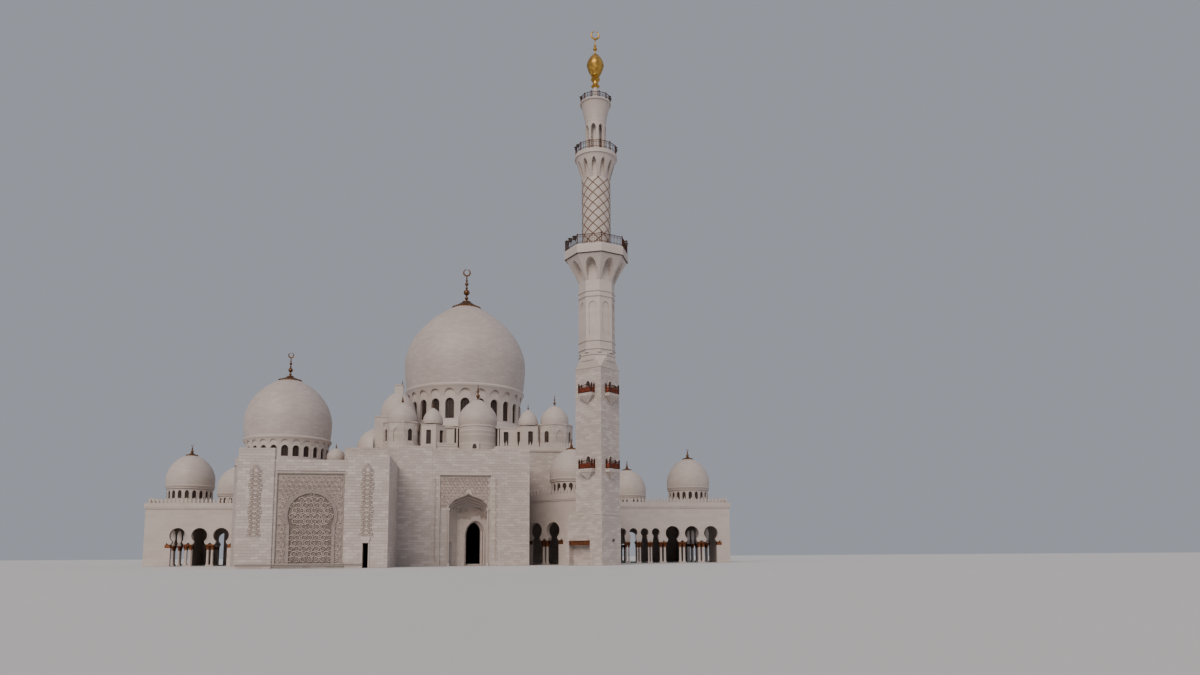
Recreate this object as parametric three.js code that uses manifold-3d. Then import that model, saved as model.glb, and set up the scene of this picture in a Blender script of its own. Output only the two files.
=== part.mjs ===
// Mosque building as a 1:10 scale model.
// Every size below is in metres of the full-size building; the group at the end turns one metre of
// building into 100 mm of model. X runs along the front, Y runs away from the viewer, Z is up.
// The plan is drawn around the axis of the main dome, and the group then moves the centre of the
// building's footprint to the origin.
import * as THREE from 'three';
import { mergeVertices } from 'three/addons/utils/BufferGeometryUtils.js';
import Module from 'manifold-3d';

const wasm = await Module();
wasm.setup();

// Scale and clearances
const MODEL_MM_PER_METRE = 100;
const GAP = 0.003;
const OVERLAP = 0.02;

// Panel block, the tall front block on the left
const PANEL = { left: -37.0, right: -12.8, front: -88.4, back: -49.5, wall: 1.2 };
const PANEL_TOPS = { leftBay: 19.85, middleBay: 18.0, rightBay: 18.95, roof: 17.0 };
const PANEL_JOINTS = { left: -31.3, right: -19.7 };
const CARVED_FIELD = { left: -30.8, right: -20.2, bottom: 0.8, top: 15.6, depth: 0.18 };
const CARVED_ARCH = { x: -25.3, z: 8.65, radius: 3.75, band: 0.45, footHalf: 3.4 };
const SLIT_DOOR = { left: -16.85, right: -15.95, top: 4.1 };

// Portal block
const PORTAL = { left: -12.8, right: 12.2, front: -70, back: -46, wall: 1.2, frontWall: 1.6 };
const PORTAL_TOPS = { leftBay: 22.9, middleBay: 21.6, rightBay: 22.5, roof: 20.4 };
const PORTAL_JOINTS = { left: -6.4, right: 4.9 };
const PORTAL_FRAME = { left: -4.92, right: 4.8, top: 17.3, depth: 0.4 };
const NICHE = { left: -3.3, right: 4.3, spring: 10.9, peak: 13.8, back: -65.2, cantRun: 1.7 };
const NICHE_BLOCK = { left: -5.4, right: 5.9, back: -63.6, top: 15.4 };
const MAIN_DOOR = { x: 1.95, half: 2.05, spring: 6.2, top: 8.75 };
const SIDE_DOOR = { y: -68.1, half: 0.75, spring: 3.6, top: 4.7 };

// Prayer hall
const HALL = { left: -49.5, right: 24.6, back: 22, wall: 1.2 };
const HALL_FRONT = -46;
const HALL_STEP = -26;
const LOW_ROOF = 20.4;
const HIGH_ROOF = 25.4;
const ROOF_SLAB = 0.6;
const PARAPET = 0.6;
const FLOOR_TOP = 0.3;
const CORNER = { x: -47, y: -49.5, turnY: -42 };
const REAR_BLOCK = { left: -66, right: -49.5, front: 15, back: 30, top: 24, wall: 1 };
const REAR_TURRET = { x: -63.4, y: 24, radius: 2.6, top: 30.6 };

// Main dome and its drum, axis at the plan's zero
const MAIN_DOME = {
  x: -0.5, radius: 16.5, bottom: 46.7, spring: 53.8, top: 72.1, shell: 0.8, slim: 1.525, disc: 4.0,
};
const MAIN_DRUM = { radius: 15.2, wall: 1.0, bottom: 37.0, lip: 16.1, windows: 24 };
const MAIN_WINDOW = { half: 1.15, sill: 37.3, spring: 41.6, top: 42.7 };
const MAIN_BASE_RADIUS = 16.2;
const MAIN_FINIAL_TIP = 82.4;

// Left dome
const LEFT_DOME = {
  x: -39.2, y: -39.3, radius: 9.27, bottom: 27.7, spring: 31.4, top: 41.55, shell: 0.6, slim: 1.24, disc: 2.4,
};
const LEFT_DRUM = { radius: 8.7, wall: 0.8, lip: 9.25, windows: 24 };
const LEFT_WINDOW = { half: 0.68, sill: 23.2, spring: 24.9, top: 25.55 };
const LEFT_FINIAL_TIP = 47.6;
const SMALL_DOME = { x: -28.2, y: -43.1, radius: 2.0, bottom: 20.4, spring: 23.6, top: 25.5 };

// Roof group in front of the main drum
const GROUP = { x: 2.9, y: -39, turretOffset: 17.4, lanternLeft: -7.65, lanternRight: 14.1 };
const TURRET = { domeRadius: 3.22, bodyRadius: 4.2, spring: 32.3, top: 36.8, tip: 39.9 };
const LANTERN = {
  flat: 5.8, roof: 31.45, neck: 1.85, domeRadius: 2.25, bottom: 31.75, spring: 32.2, top: 35.7, tip: 37.2,
  leftTurn: -16, rightTurn: 7.5,
};
const GROUP_SLIM = 1.5;
const CENTRE_DOME = { radius: 4.45, spring: 31.9, top: 37.9, tip: 41.7, drumRadius: 4.2 };
const SIDE_WALLS = { reach: 9, half: 1.2, top: 31.2 };
const RAILING = { left: 6.4, right: 24.0, y: -45.2, top: 27.4, thick: 0.35 };
const LEFT_RAILING = { left: -6.3, right: -2.1 };
const UPPER_HALF_DOME = { x: -17.4, y: -14, radius: 4.5, spring: 37.2, top: 43.9 };
const UPPER_BASE = { left: 5.4, right: 2.8, half: 4.6, top: 37.0 };
const UPPER_PILLAR = { left: 0.9, right: 1.2, half: 1.1, top: 45.7 };
const LOWER_HALF_DOME = { x: -20.7, y: -36, radius: 4.15, spring: 25.6, top: 31.1 };
const LOWER_BLOCK = { width: 2.0, half: 3.3, top: 30.5 };

// Arcade wings and the link arcade
const CORNICE_TOP = 14.2;
const WING_ROOF = 12.9;
const WING_WALL = 0.9;
const CORNICE_REACH = 0.25;
const LEFT_WING = { left: -71.8, right: HALL.left, front: -28, back: 14 };
const RIGHT_WING = { left: HALL.right, right: 62.8, front: -37, back: 14 };
const WIDE_ARCH = { half: 1.3, wide: 1.7, foot: 5.0, centre: 6.95, pitch: 4.7 };
const NARROW_ARCH = { half: 0.7, wide: 0.95, centre: 7.2, pitch: 2.7 };
const CAPITAL_FOOT = 3.9;
const LEFT_WING_ARCHES = [7.1, 11.8, 16.5];
const RIGHT_WING_NARROW = [11.9, 14.6, 17.3, 20.0];
const RIGHT_WING_WIDE = [24.1, 28.8, 33.5];
const SIDE_ARCH_COUNT = 5;
const BACK_ARCH_COUNT = 3;
const LINK = { x: 12.203, y: -54.9, length: 19.8, bury: 1.5, thick: 0.9, right: 31 };
const LINK_ARCHES = [3.2, 7.9];
const ARCADE_DOME = {
  radius: 5.4, drumRadius: 5.0, wall: 0.4, spring: 18.9, top: 26.5, tip: 28.9, windows: 16, slim: 1.17,
};
const ARCADE_WINDOW = { half: 0.3, sill: 15.8, spring: 17.0, top: 17.5 };
const DOMES = [
  { name: 'dome_left_front', x: -65.2, y: -19.0 },
  { name: 'dome_left_rear', x: -60.4, y: 6.0 },
  { name: 'dome_right_front', x: 56.4, y: -23.1 },
  { name: 'dome_right_rear', x: 46.0, y: 5.9 },
];
const LINK_DOME = { name: 'dome_link', x: 22.6, y: -52.5, size: 0.88 };

// Minaret: a square shaft set at 45 degrees, with everything above it on the same axis
const MINARET = { x: 24.6, y: -76.8, side: 5.95, bore: 1.9 };
const BASE = { top: 9.6, grow: 0.06, bore: 1.2 };
const ANNEX = {
  reach: 2.7, reachTop: 1.5, lintel: 3.7, passageLeft: 1.5, passageRight: 3.3, passageDepth: 1.35,
};
const SQUARE_TOP = 37.0;
const BALCONY_LEVELS = [15.8, 30.1];
const BALCONY = { width: 3.0, reach: 1.0, corbel: 1.4, slab: 0.6 };
const BALCONY_DOOR = { half: 0.5, spring: 1.8, top: 2.4 };
const OCTAGON = { broachTop: 39.1, flat: 6.5, top: 53.4, turned: 39.9 };
const PANELS = { half: 0.75, bottom: 43.4, spring: 48.9, top: 49.9, depth: 0.15 };
const RAIL_THICK = 0.25;
const GALLERY_1 = { corbelTop: 58.6, floor: 60.4, flat: 11.6, rail: 62.3 };
const LATTICE = { radius: 2.72, bottom: 60.4, top: 74.8 };
const GALLERY_2 = { corbelTop: 79.3, floor: 80.2, radius: 4.2, rail: 81.8 };
const ARCH_STAGE = { radius: 2.05, wall: 0.45, top: 86.9, openings: 8 };
const GALLERY_3 = { corbelTop: 90.9, floor: 91.3, radius: 3.1, rail: 92.4 };
const STEM = { radius: 0.52, top: 97.0 };
const BULB = { radius: 1.6, bottom: 97.0, top: 102.3 };
const MINARET_TIP = 107.0;
const MINARET_MOON = 0.9;

// Middle of the footprint in plan coordinates
const FOOTPRINT_CENTRE = { x: -4.5, y: -29.2 };

// Colours
const stone = (name, color) => new THREE.MeshStandardMaterial({ name, color, roughness: 0.7 });
const MARBLE = stone('marble', '#d8d2c8');
const ASHLAR = stone('ashlar', '#cfc8bd');
const ROOFING = stone('roofing', '#b9b2a6');
function metal(name, color, roughness) {
  return new THREE.MeshStandardMaterial({ name, color, roughness, metalness: 1 });
}

const GOLD = metal('gold', '#c08a35', 0.35);
const BRONZE = metal('bronze', '#7a4028', 0.5);

// Turns a closed three.js geometry into a solid, with its faces pointing out.
function solid(geometry) {
  const bare = geometry.clone();
  for (const key of Object.keys(bare.attributes)) {
    if (key !== 'position') {
      bare.deleteAttribute(key);
    }
  }
  const merged = mergeVertices(bare, 1e-4);
  const position = merged.attributes.position.array;
  const corners = [];
  let volume = 0;
  const a = new THREE.Vector3();
  const b = new THREE.Vector3();
  const c = new THREE.Vector3();
  for (let i = 0; i < merged.index.count; i += 3) {
    const [p, q, r] = [merged.index.getX(i), merged.index.getX(i + 1), merged.index.getX(i + 2)];
    if (p === q || q === r || p === r) {
      continue;
    }
    corners.push(p, q, r);
    a.fromArray(position, p * 3);
    b.fromArray(position, q * 3);
    c.fromArray(position, r * 3);
    volume += a.dot(b.cross(c));
  }
  if (volume < 0) {
    corners.reverse();
  }
  return new wasm.Manifold(new wasm.Mesh({
    numProp: 3,
    vertProperties: new Float32Array(position),
    triVerts: new Uint32Array(corners),
  }));
}

const join = (...solids) => solids.reduce((all, next) => all.add(next));
const cut = (body, ...tools) => tools.reduce((rest, tool) => rest.subtract(tool), body);

function box(x0, x1, y0, y1, z0, z1) {
  const geometry = new THREE.BoxGeometry(x1 - x0, y1 - y0, z1 - z0);
  geometry.translate((x0 + x1) / 2, (y0 + y1) / 2, (z0 + z1) / 2);
  return solid(geometry);
}

const outline = (points) => new THREE.Shape(points.map(([x, y]) => new THREE.Vector2(x, y)));

// A plan outline (x, y) raised from z0 to z1.
function raise(points, z0, z1) {
  const geometry = new THREE.ExtrudeGeometry(outline(points), { depth: z1 - z0, bevelEnabled: false });
  geometry.translate(0, 0, z0);
  return solid(geometry);
}

// An upright outline (x, z) pushed back from y0 to y1.
function push(points, y0, y1) {
  const geometry = new THREE.ExtrudeGeometry(outline(points), { depth: y1 - y0, bevelEnabled: false });
  geometry.rotateX(Math.PI / 2);
  geometry.translate(0, y1, 0);
  return solid(geometry);
}

// A profile (radius, z) turned around the vertical axis.
function turn(profile, segments) {
  const points = profile.map(([r, z]) => new THREE.Vector2(r, z));
  const geometry = new THREE.LatheGeometry(points, segments);
  geometry.rotateX(Math.PI / 2);
  return solid(geometry);
}

const move = (body, x, y, z = 0) => body.translate([x, y, z]);
const spin = (body, degrees) => body.rotate([0, 0, degrees]);

function regular(sides, flat, turned = 0.5) {
  const radius = flat / 2 / Math.cos(Math.PI / sides);
  const points = [];
  for (let i = 0; i < sides; i += 1) {
    const angle = ((i + turned) / sides) * Math.PI * 2;
    points.push([radius * Math.cos(angle), radius * Math.sin(angle)]);
  }
  return points;
}

const site = new THREE.Group();

function place(name, body, material) {
  const mesh = body.getMesh();
  const geometry = new THREE.BufferGeometry();
  geometry.setAttribute('position', new THREE.BufferAttribute(mesh.vertProperties, 3));
  geometry.setIndex(new THREE.BufferAttribute(mesh.triVerts, 1));
  geometry.computeVertexNormals();
  const part = new THREE.Mesh(geometry, material);
  part.name = name;
  site.add(part);
}

// The outline of a horseshoe arch on straight lower sides, from its foot up.
function horseshoe(x, arch, bottom, steps = 7) {
  const radius = arch.wide;
  const lower = Math.acos(arch.half / radius);
  const points = [[x - arch.half, bottom]];
  for (let i = 0; i <= steps; i += 1) {
    const angle = Math.PI + lower - (i / steps) * (Math.PI + 2 * lower);
    points.push([x + radius * Math.cos(angle), arch.centre + radius * Math.sin(angle)]);
  }
  points.push([x + arch.half, bottom]);
  return points;
}

// The outline of a door or window with a slightly pointed head.
function pointedArch(x, half, bottom, spring, top, steps = 3) {
  const points = [[x - half, bottom], [x - half, spring]];
  for (let i = 1; i < 2 * steps; i += 1) {
    const along = i / steps - 1;
    const rise = (1 - Math.abs(along) ** 1.9) ** 0.6;
    points.push([x + half * along, spring + (top - spring) * rise]);
  }
  points.push([x + half, spring], [x + half, bottom]);
  return points;
}

// Panel block
function carvedArchOutline(grow) {
  const reach = CARVED_ARCH.radius + grow;
  const foot = CARVED_ARCH.footHalf + grow;
  const arch = { half: foot, wide: reach, centre: CARVED_ARCH.z };
  return horseshoe(CARVED_ARCH.x, arch, CARVED_FIELD.bottom - OVERLAP, 14);
}

function buildPanelBlock() {
  const { left, right, front, back, wall } = PANEL;
  const inner = front + wall;
  const step = 0.25;
  const leftBay = box(left, PANEL_JOINTS.left, front, inner, 0, PANEL_TOPS.leftBay);
  const rightBay = box(PANEL_JOINTS.right, right, front, inner, 0, PANEL_TOPS.rightBay);
  const middle = box(PANEL_JOINTS.left - OVERLAP, PANEL_JOINTS.right + OVERLAP, front + step, inner,
    0, PANEL_TOPS.middleBay);
  const fieldFront = front + step;
  const fieldBack = fieldFront + CARVED_FIELD.depth;
  const field = box(CARVED_FIELD.left, CARVED_FIELD.right, front - 1, fieldBack,
    CARVED_FIELD.bottom, CARVED_FIELD.top);
  const band = cut(
    push(carvedArchOutline(CARVED_ARCH.band), fieldFront, fieldBack + OVERLAP),
    push(carvedArchOutline(0), front - 1, fieldBack + 1),
  );
  const door = box(SLIT_DOOR.left, SLIT_DOOR.right, front - 1, inner + 1, -1, SLIT_DOOR.top);
  place('panel_front_wall', cut(join(cut(join(leftBay, middle, rightBay), field), band), door), ASHLAR);
  const start = inner + GAP;
  place('panel_left_wall', box(left, left + wall, start, back - GAP, 0, PANEL_TOPS.leftBay), ASHLAR);
  const rightWall = box(right - wall, right, start, HALL_FRONT - GAP, 0, PANEL_TOPS.rightBay);
  place('panel_right_wall', rightWall, ASHLAR);
  const roofRight = right - wall - GAP;
  const roofPlan = [
    [left + wall + GAP, start], [roofRight, start], [roofRight, HALL_FRONT - GAP],
    [HALL_STEP + wall + GAP, HALL_FRONT - GAP], [HALL_STEP + wall + GAP, back - GAP],
    [left + wall + GAP, back - GAP],
  ];
  place('panel_roof', raise(roofPlan, PANEL_TOPS.roof, PANEL_TOPS.roof + ROOF_SLAB), ROOFING);
}

// Portal block
function ogee(left, right, bottom, spring, peak) {
  const half = (right - left) / 2;
  const x = (left + right) / 2;
  const rise = peak - spring;
  const side = [[1, 0], [0.93, 0.3], [0.76, 0.55], [0.5, 0.72], [0.22, 0.83], [0, 1]];
  const points = [[left, bottom]];
  for (const [out, up] of side) {
    points.push([x - half * out, spring + rise * up]);
  }
  for (const [out, up] of side.slice(0, -1).reverse()) {
    points.push([x + half * out, spring + rise * up]);
  }
  points.push([right, bottom]);
  return points;
}

function buildPortalBlock() {
  const { left, right, front, back, wall, frontWall } = PORTAL;
  const inner = front + frontWall;
  const body = join(
    box(left, PORTAL_JOINTS.left, front, inner, 0, PORTAL_TOPS.leftBay),
    box(PORTAL_JOINTS.left - OVERLAP, PORTAL_JOINTS.right + OVERLAP, front, inner, 0, PORTAL_TOPS.middleBay),
    box(PORTAL_JOINTS.right, right, front, inner, 0, PORTAL_TOPS.rightBay),
  );
  const frame = box(PORTAL_FRAME.left, PORTAL_FRAME.right, front - 1, front + PORTAL_FRAME.depth,
    -1, PORTAL_FRAME.top);
  const mouth = ogee(NICHE.left, NICHE.right, -1, NICHE.spring, NICHE.peak);
  place('portal_front_wall', cut(body, frame, push(mouth, front - 1, inner + 1)), ASHLAR);

  const nicheFront = inner + GAP;
  const mass = box(NICHE_BLOCK.left, NICHE_BLOCK.right, nicheFront, NICHE_BLOCK.back, 0, NICHE_BLOCK.top);
  const plan = [
    [NICHE.left, nicheFront - 1], [NICHE.right, nicheFront - 1], [NICHE.right, NICHE.back],
    [NICHE.left + NICHE.cantRun, NICHE.back], [NICHE.left, nicheFront + 0.6],
  ];
  const hollow = push(mouth, nicheFront - 1, NICHE.back + 1).intersect(raise(plan, -1, NICHE.peak + 1));
  const door = push(pointedArch(MAIN_DOOR.x, MAIN_DOOR.half, -1, MAIN_DOOR.spring, MAIN_DOOR.top, 5),
    NICHE.back - 1, NICHE_BLOCK.back + 1);
  const sideDoor = move(spin(push(pointedArch(0, SIDE_DOOR.half, -1, SIDE_DOOR.spring, SIDE_DOOR.top), 0, 5),
    90), NICHE.left + 1, SIDE_DOOR.y + 0.9);
  place('portal_niche', cut(mass, hollow, door, sideDoor), MARBLE);

  const start = inner + GAP;
  place('portal_left_wall', box(left + GAP, left + wall, start, back - GAP, 0, PORTAL_TOPS.leftBay), ASHLAR);
  place('portal_right_wall', box(right - wall, right, start, back - GAP, 0, PORTAL_TOPS.rightBay), ASHLAR);
  place('portal_roof', box(left + wall + GAP, right - wall - GAP, start, back - GAP,
    PORTAL_TOPS.roof, PORTAL_TOPS.roof + ROOF_SLAB), ROOFING);
}

// Prayer hall
function buildHall() {
  const { left, right, back, wall } = HALL;
  const lowRoofBottom = LOW_ROOF - ROOF_SLAB;
  const highRoofBottom = HIGH_ROOF - ROOF_SLAB;
  const leftLine = [
    [left, back], [left, CORNER.turnY], [CORNER.x, CORNER.y], [HALL_STEP + wall, CORNER.y],
    [HALL_STEP + wall, HALL_FRONT - GAP], [HALL_STEP, HALL_FRONT - GAP], [HALL_STEP, CORNER.y + wall],
    [CORNER.x + wall * 0.8, CORNER.y + wall], [left + wall, CORNER.turnY + wall * 0.3], [left + wall, back],
  ];
  place('hall_left_wall', raise(leftLine, 0, LOW_ROOF + PARAPET), ASHLAR);
  place('hall_step_wall', box(HALL_STEP, HALL_STEP + wall, HALL_FRONT + wall + GAP, back - wall - GAP,
    0, HIGH_ROOF), ASHLAR);
  const frontDoorway = box(PORTAL.left + wall, PORTAL.right - wall, HALL_FRONT - 1, HALL_FRONT + wall + 1,
    -1, 12);
  place('hall_front_wall', cut(box(HALL_STEP, right, HALL_FRONT, HALL_FRONT + wall, 0, HIGH_ROOF),
    frontDoorway), ASHLAR);
  const rightWall = box(right - wall, right, HALL_FRONT + wall + GAP, back - OVERLAP, 0, HIGH_ROOF);
  const backOutline = [
    [left + wall + GAP, 0], [right, 0], [right, HIGH_ROOF], [HALL_STEP, HIGH_ROOF],
    [HALL_STEP, LOW_ROOF + PARAPET], [left + wall + GAP, LOW_ROOF + PARAPET],
  ];
  place('hall_back_and_right_wall', join(push(backOutline, back - wall, back), rightWall), ASHLAR);
  const lowPlan = [
    [left + wall + GAP, back - wall - GAP], [left + wall + GAP, CORNER.turnY + wall],
    [CORNER.x + wall, CORNER.y + wall + GAP], [HALL_STEP - GAP, CORNER.y + wall + GAP],
    [HALL_STEP - GAP, back - wall - GAP],
  ];
  place('hall_low_roof', raise(lowPlan, lowRoofBottom, LOW_ROOF), ROOFING);
  place('hall_high_roof', box(HALL_STEP + wall + GAP, right - wall - GAP, HALL_FRONT + wall + GAP,
    back - wall - GAP, highRoofBottom, HIGH_ROOF), ROOFING);
  const floorPlan = [
    [PORTAL.left + wall + GAP, NICHE_BLOCK.back + GAP], [PORTAL.right - wall - GAP, NICHE_BLOCK.back + GAP],
    [PORTAL.right - wall - GAP, HALL_FRONT + wall], [right - wall - GAP, HALL_FRONT + wall + GAP],
    [right - wall - GAP, back - wall - GAP], [HALL_STEP + wall + GAP, back - wall - GAP],
    [HALL_STEP + wall + GAP, HALL_FRONT + wall + GAP], [PORTAL.left + wall + GAP, HALL_FRONT + wall + GAP],
  ];
  place('hall_floor', raise(floorPlan, 0, FLOOR_TOP), ROOFING);
}

function buildRearBlock() {
  const { left, right, front, back, top, wall } = REAR_BLOCK;
  const shell = cut(box(left, right - GAP, front, back, 0, top),
    box(left + wall, right - wall, front + wall, back - wall, -1, top - wall));
  const turret = move(raise(regular(8, REAR_TURRET.radius * 2), top - OVERLAP, REAR_TURRET.top),
    REAR_TURRET.x, REAR_TURRET.y);
  place('rear_block', join(shell, turret), ASHLAR);
}

// Domes. The outer curve swells past the foot and closes in a low point, the lower the greater slim is.
function domeCurve(radius, foot, bottom, spring, top, steps, slim = 1.2) {
  const points = [];
  for (let i = 0; i <= 2; i += 1) {
    const along = i / 2;
    points.push([foot + (radius - foot) * Math.sin(along * Math.PI / 2), bottom + (spring - bottom) * along]);
  }
  for (let i = 1; i < steps; i += 1) {
    const angle = (i / steps) * Math.PI / 2;
    const rise = Math.sin(angle) ** 1.03;
    points.push([radius * Math.cos(angle) ** slim, spring + (top - spring) * rise]);
  }
  return points;
}

function domeShell(dome, foot, bottom, steps, segments) {
  const { radius, spring, top, shell, slim } = dome;
  const outer = domeCurve(radius, foot, bottom, spring, top, steps, slim);
  const few = Math.ceil(steps * 0.5);
  const inner = domeCurve(radius - shell, foot - shell, bottom, spring, top - shell, few, slim);
  return turn([[0, top], ...outer.reverse(), ...inner, [0, top - shell]], segments);
}

function finialProfile(bottom, top, radius) {
  const h = top - bottom;
  const at = (r, part) => [r * radius, bottom + h * part];
  return [
    [0, bottom], at(1, 0), at(0.42, 0.1), at(0.2, 0.2), at(0.46, 0.28), at(0.2, 0.36), at(0.16, 0.42),
    at(0.36, 0.49), at(0.14, 0.56), at(0.12, 0.6), at(0.27, 0.66), at(0.1, 0.72), at(0.08, 0.8),
    [0, bottom + h * 0.82],
  ];
}

// A crescent standing on its back in the X-Z plane, open at the top.
function crescent(radius, z, thick) {
  const points = [];
  const opening = 0.45;
  const steps = 9;
  for (let i = 0; i <= steps; i += 1) {
    const angle = Math.PI / 2 + opening + (i / steps) * (Math.PI * 2 - 2 * opening);
    points.push([radius * Math.cos(angle), radius * Math.sin(angle)]);
  }
  for (let i = steps; i >= 0; i -= 1) {
    const angle = Math.PI / 2 + opening * 1.3 + (i / steps) * (Math.PI * 2 - 2.6 * opening);
    points.push([radius * 0.72 * Math.cos(angle), radius * (0.2 + 0.72 * Math.sin(angle))]);
  }
  return move(push(points, -thick / 2, thick / 2), 0, 0, z);
}

// The finial of a lesser dome: a knob on a spike.
function spike(bottom, top, radius) {
  const h = top - bottom;
  return turn([
    [0, bottom], [radius, bottom], [radius * 0.25, bottom + h * 0.22], [radius * 0.5, bottom + h * 0.36],
    [radius * 0.2, bottom + h * 0.5], [0, top],
  ], 6);
}

function finial(bottom, top, radius, segments = 12) {
  const moon = (top - bottom) * 0.11;
  return join(turn(finialProfile(bottom, top, radius), segments),
    crescent(moon, top - moon, moon * 0.35));
}

// A finial on a low cone that caps the dome's crown and follows its curve underneath.
function crownFinial(dome, tip, radius, steps, segments) {
  const { disc, slim, spring, top } = dome;
  const turned = Math.acos((disc / dome.radius) ** (1 / slim));
  const edge = spring + (top - spring) * Math.sin(turned) ** 1.03;
  const cone = turn([
    [0, edge - 0.3], [disc * 0.96, edge - 0.3], [disc, edge + 0.05], [disc * 0.97, edge + 0.4],
    [disc * 0.35, top + 0.3], [0, top + 0.3],
  ], 24);
  const size = dome.radius + GAP;
  const curve = domeCurve(size, size, spring - 1, spring, top + GAP, steps, slim);
  const crown = turn([[0, spring - 1], ...curve, [0, top + GAP]], segments);
  return join(cut(cone, crown), finial(top + 2 * GAP, tip, radius, 10));
}

function ringWindows(count, window, radius, wall, steps = 2, start = 0.5) {
  const tools = [];
  for (let i = 0; i < count; i += 1) {
    const shape = push(pointedArch(0, window.half, window.sill, window.spring, window.top, steps),
      -radius - 1, -radius + wall + 1);
    tools.push(spin(shape, (i + start) * 360 / count));
  }
  return tools;
}

function buildMainDome() {
  const base = MAIN_BASE_RADIUS;
  const r = MAIN_DRUM.radius;
  const inside = r - MAIN_DRUM.wall;
  const bottom = HIGH_ROOF + GAP;
  const lipTop = MAIN_DOME.bottom;
  const drum = turn([
    [inside, bottom], [base, bottom], [base, MAIN_DRUM.bottom - 1.6], [r + 0.3, MAIN_DRUM.bottom],
    [r, MAIN_DRUM.bottom], [r, lipTop - 2.4], [MAIN_DRUM.lip, lipTop - 1.0], [MAIN_DRUM.lip, lipTop - 0.2],
    [r + 0.7, lipTop], [inside, lipTop], [inside, bottom],
  ], MAIN_DRUM.windows);
  const windows = ringWindows(MAIN_DRUM.windows, MAIN_WINDOW, r, MAIN_DRUM.wall, 2, 0);
  const d = MAIN_DOME;
  place('main_drum', move(cut(drum, ...windows), d.x, 0), MARBLE);
  const shell = domeShell(d, r + 0.7, lipTop + GAP, 8, 32);
  place('main_dome', move(shell, d.x, 0), ASHLAR);
  place('main_finial', move(crownFinial(d, MAIN_FINIAL_TIP, 1.9, 8, 32), d.x, 0), GOLD);
}

function buildLeftDome() {
  const { x, y } = LEFT_DOME;
  const r = LEFT_DRUM.radius;
  const inside = r - LEFT_DRUM.wall;
  const bottom = LOW_ROOF + GAP;
  const foot = r - 0.2;
  const footTop = LOW_ROOF + PARAPET + 0.1;
  const lipTop = LEFT_DOME.bottom;
  const drum = turn([
    [inside, bottom], [foot, bottom], [foot, footTop], [r, footTop], [r, lipTop - 1.3],
    [LEFT_DRUM.lip, lipTop - 0.6], [LEFT_DRUM.lip, lipTop - 0.15],
    [r + 0.3, lipTop], [inside, lipTop], [inside, bottom],
  ], LEFT_DRUM.windows);
  const windows = ringWindows(LEFT_DRUM.windows, LEFT_WINDOW, r, LEFT_DRUM.wall);
  place('left_drum', move(cut(drum, ...windows), x, y), MARBLE);
  const d = LEFT_DOME;
  const shell = domeShell(d, r + 0.3, lipTop + GAP, 6, LEFT_DRUM.windows);
  place('left_dome', move(shell, x, y), ASHLAR);
  place('left_finial', move(crownFinial(d, LEFT_FINIAL_TIP, 1.1, 6, LEFT_DRUM.windows), x, y), GOLD);
  const s = SMALL_DOME;
  place('small_dome', move(turn([
    [0, s.top + 1.2], [0.12, s.top + 1.1], [0.1, s.top], [s.radius * 0.5, s.top - 0.35],
    [s.radius * 0.9, s.spring + 0.7], [s.radius, s.spring], [s.radius * 0.92, s.bottom + GAP],
    [0, s.bottom + GAP],
  ], 16), s.x, s.y), MARBLE);
}

// Roof group
function buildTurret(name, x) {
  const body = raise(regular(8, TURRET.bodyRadius * 1.9), HIGH_ROOF + GAP, TURRET.spring);
  const crown = turn([[0, TURRET.spring - OVERLAP],
    ...domeCurve(TURRET.domeRadius, TURRET.domeRadius * 0.98, TURRET.spring - OVERLAP,
      TURRET.spring + 0.6, TURRET.top, 6, GROUP_SLIM), [0, TURRET.top]], 16);
  const tip = spike(TURRET.top - 0.25, TURRET.tip, 0.7);
  place(name, move(join(body, crown, tip), x, GROUP.y), MARBLE);
}

// The six-sided body of a lantern, as far as the nearest turret's side.
function lanternBody(x, degrees, bottom, grow = 0) {
  const body = spin(raise(regular(6, LANTERN.flat + 2 * grow, 0), bottom, LANTERN.roof), degrees);
  const side = TURRET.bodyRadius * 0.95 + 0.02 - grow;
  const left = GROUP.x - GROUP.turretOffset + side;
  const right = GROUP.x + GROUP.turretOffset - side;
  const room = box(left, right, GROUP.y - 5, GROUP.y + 5, bottom - 1, LANTERN.roof + 1);
  return move(body, x, GROUP.y).intersect(room);
}

function buildLantern(name, x, degrees) {
  const l = LANTERN;
  const cap = turn([
    [0, l.roof - OVERLAP], [l.neck, l.roof - OVERLAP], [l.neck, l.bottom], [l.domeRadius, l.bottom],
    ...domeCurve(l.domeRadius, l.domeRadius, l.bottom, l.spring, l.top, 5, GROUP_SLIM).slice(2), [0, l.top],
  ], 14);
  const tip = spike(l.top - 0.2, l.tip, 0.4);
  const body = lanternBody(x, degrees, HIGH_ROOF + GAP);
  place(name, join(body, move(join(cap, tip), x, GROUP.y)), MARBLE);
}

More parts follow.
